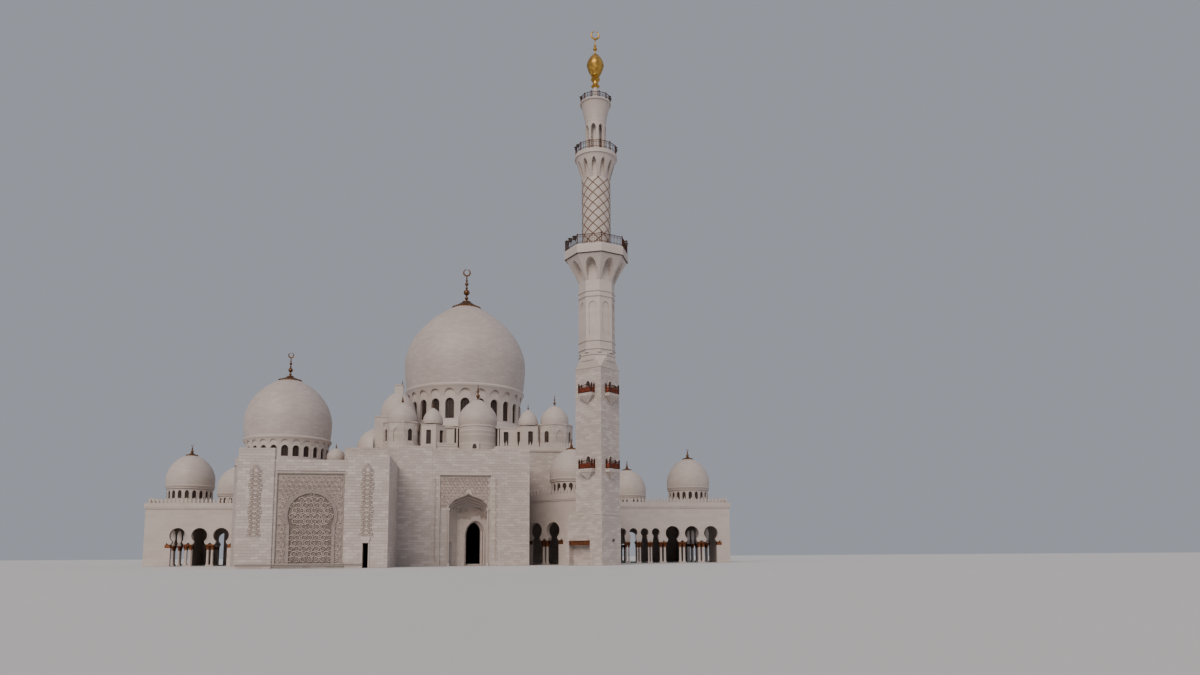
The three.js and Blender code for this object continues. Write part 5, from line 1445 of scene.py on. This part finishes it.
def portal_mouldings():
    trim = Shape((NICHE_MIDDLE, PORTAL_FRONT))
    strips = ((-5.05, 4.95, 0.14, 17.3, 17.55), (-5.05, 4.95, 0.08, 17.55, 17.75),
              (-5.08, -4.88, 0.08, 0.0, 17.3), (4.76, 4.96, 0.08, 0.0, 17.3), (-6.52, -6.38, 0.07, 0.0, 21.2),
              (-6.2, -6.1, 0.05, 0.0, 17.6), (6.5, 6.62, 0.06, 0.0, 17.6))
    for u0, u1, out, z0, z1 in strips:
        trim.box(u0, u1, PORTAL_FRONT - out, PORTAL_FRONT + 0.02, z0, z1)
    spring, peak = 10.9, 13.8
    for grow, thick in ((0.1, 0.07), (0.4, 0.05)):
        trim.tube([(u, RECESS - 0.03, z) for u, z in hood_line(0.0, spring, peak, grow)], thick)
    for k in range(4):
        low = spring - k * 0.32
        line = hood_line(low, low, peak - k * 0.36, -0.1 - 0.12 * k)
        trim.tube([(u, RECESS + 0.4 + k * 0.9, z) for u, z in line], 0.1)
    for u in (-3.18, 4.18):
        trim.tube([(u, NICHE_COLUMNS, 0.3), (u, NICHE_COLUMNS, 10.8)], 0.12, 8)
        for z0, z1 in ((0.0, 0.5), (10.6, 10.95)):
            trim.box(u - 0.2, u + 0.2, NICHE_COLUMNS - 0.2, NICHE_COLUMNS + 0.2, z0, z1)
    trim.build("portal_mouldings", fine_stone, "ashlar", 9.0, 45.0)


def doorways():
    """The surrounds of the niche's two doorways, and the main one's posts and its stepped lining of painted
    shade.
    """
    axis = (2.0, NICHE_BACK)
    door, lining, post = Shape(axis), Shape(axis), Shape((3.3, -65.0))
    outer = pointed(2.05, 0.0, 6.2, 8.75, 9)
    inner = pointed(1.45, 0.0, 6.85, 8.45, 9)
    rim(door, outer, DOOR_MIDDLE, wall_at(NICHE_BACK), 0.22, 0.12)
    rim(door, outer, DOOR_MIDDLE, wall_at(NICHE_BACK + 0.6), -0.22, 0.12)
    rim(door, pointed(0.75, 0.0, 3.6, 4.7), 0.55, placed(NICHE_LEFT, -67.9, 90), 0.2, 0.05)
    door.build("doorway_architraves", fine_stone, "marble", 5.0, 45.0)
    edges = ((outer, DOOR_MIDDLE, -65.19), (outer, DOOR_MIDDLE, -64.7), (inner, 1.4, -64.5),
             (inner, 1.4, -63.6))
    lining.grid([[(a + u, depth, z) for a, z in arch] for arch, u, depth in edges])
    # The lining's darker stone paints the shade in the doorway's reveals.
    lining.build("doorway_lining", painted_shade_stone, "marble", 5.0, 30.0)
    for u, wide in ((3.12, 0.14), (3.6, 0.16)):
        post.box(u - wide, u + wide, -64.9, -64.6, 0.0, 6.9 - wide)
    post.build("doorway_posts", fine_stone, "marble", 3.0)


def portal_carving():
    relief = Shape((NICHE_MIDDLE, PORTAL_FRONT))
    front, back = wall_at(PORTAL_FRONT), wall_at(NICHE_BACK)
    filled(relief, frame_inside, (-4.8, 4.7, 10.5, 17.2), 0.32, 0.2, wall_at(RECESS), NICHE_MIDDLE)
    filled(relief, back_inside, (-1.5, 4.2, 9.0, 11.8), 0.3, 0.2, back, DOOR_MIDDLE)
    for middle in (-5.75, 5.75):
        for i in range(22):
            scroll(relief, middle, 1.2 + i * 0.72, 0.32, pi / 2, 1 if i % 2 else -1, 0.16, front, 1.2)
    for i in range(26):
        leaf(relief, -0.95, 1.0 + i * 0.38, 0.6 if i % 2 else 2.5, 0.42, 0.1, back)
    relief.build("portal_carving", relief_painted_light_stone, "ashlar", 12.0, 70.0)


# Camera, floor and lights
def camera():
    data = bpy.data.cameras.new("camera")
    data.lens = LENS
    data.sensor_width = SENSOR_WIDTH
    data.shift_y = SHIFT_Y
    data.clip_end = 500.0
    made = linked("camera", data)
    ahead = Vector((sin(LOOK_TURN) * cos(LOOK_UP), cos(LOOK_TURN) * cos(LOOK_UP), sin(LOOK_UP)))
    right = Vector((cos(LOOK_TURN), -sin(LOOK_TURN), 0.0))
    up = right.cross(ahead)
    side = right * cos(ROLL) + up * sin(ROLL)
    top = up * cos(ROLL) - right * sin(ROLL)
    made.matrix_world = Matrix((side, top, -ahead)).transposed().to_4x4()
    made.location = in_frame(EYE)
    bpy.context.scene.camera = made


def sun(name, azimuth, height, strength, colour, spread):
    """A broad soft light. azimuth 0 comes from the front, 90 from the right."""
    data = bpy.data.lights.new(name, "SUN")
    data.energy = strength
    data.color = colour
    data.angle = radians(spread)
    a, e = radians(azimuth), radians(height)
    toward = Vector((sin(a) * cos(e), -cos(a) * cos(e), sin(e)))
    made = linked(name, data)
    made.rotation_mode = "QUATERNION"
    made.rotation_quaternion = toward.to_track_quat("Z", "Y")


def stage():
    mesh = bpy.data.meshes.new("floor")
    reach, z = 300.0, -0.002
    mesh.from_pydata([(-reach, -reach, z), (reach, -reach, z), (reach, reach, z), (-reach, reach, z)], [],
                     [(0, 1, 2, 3)])
    mesh.materials.append(floor_pale)
    floor = linked("floor", mesh)
    world = bpy.data.worlds.new("studio")
    bpy.context.scene.world = world
    world.use_nodes = True
    background = world.node_tree.nodes["Background"].inputs
    background["Color"].default_value = (0.72, 0.76, 0.86, 1.0)
    background["Strength"].default_value = 0.44
    sun("key_light", -26, 36, 2.35, (1.0, 0.89, 0.78), 40)
    sun("fill_light", 62, 30, 0.3, (0.86, 0.9, 1.0), 60)


dress_nodes()
great_domes()
arcade_domes()
arcades()
roof_group()
half_domes()
small_domes()
roof_edges()
minaret()
carvings()
portal_mouldings()
doorways()
portal_carving()
camera()
stage()
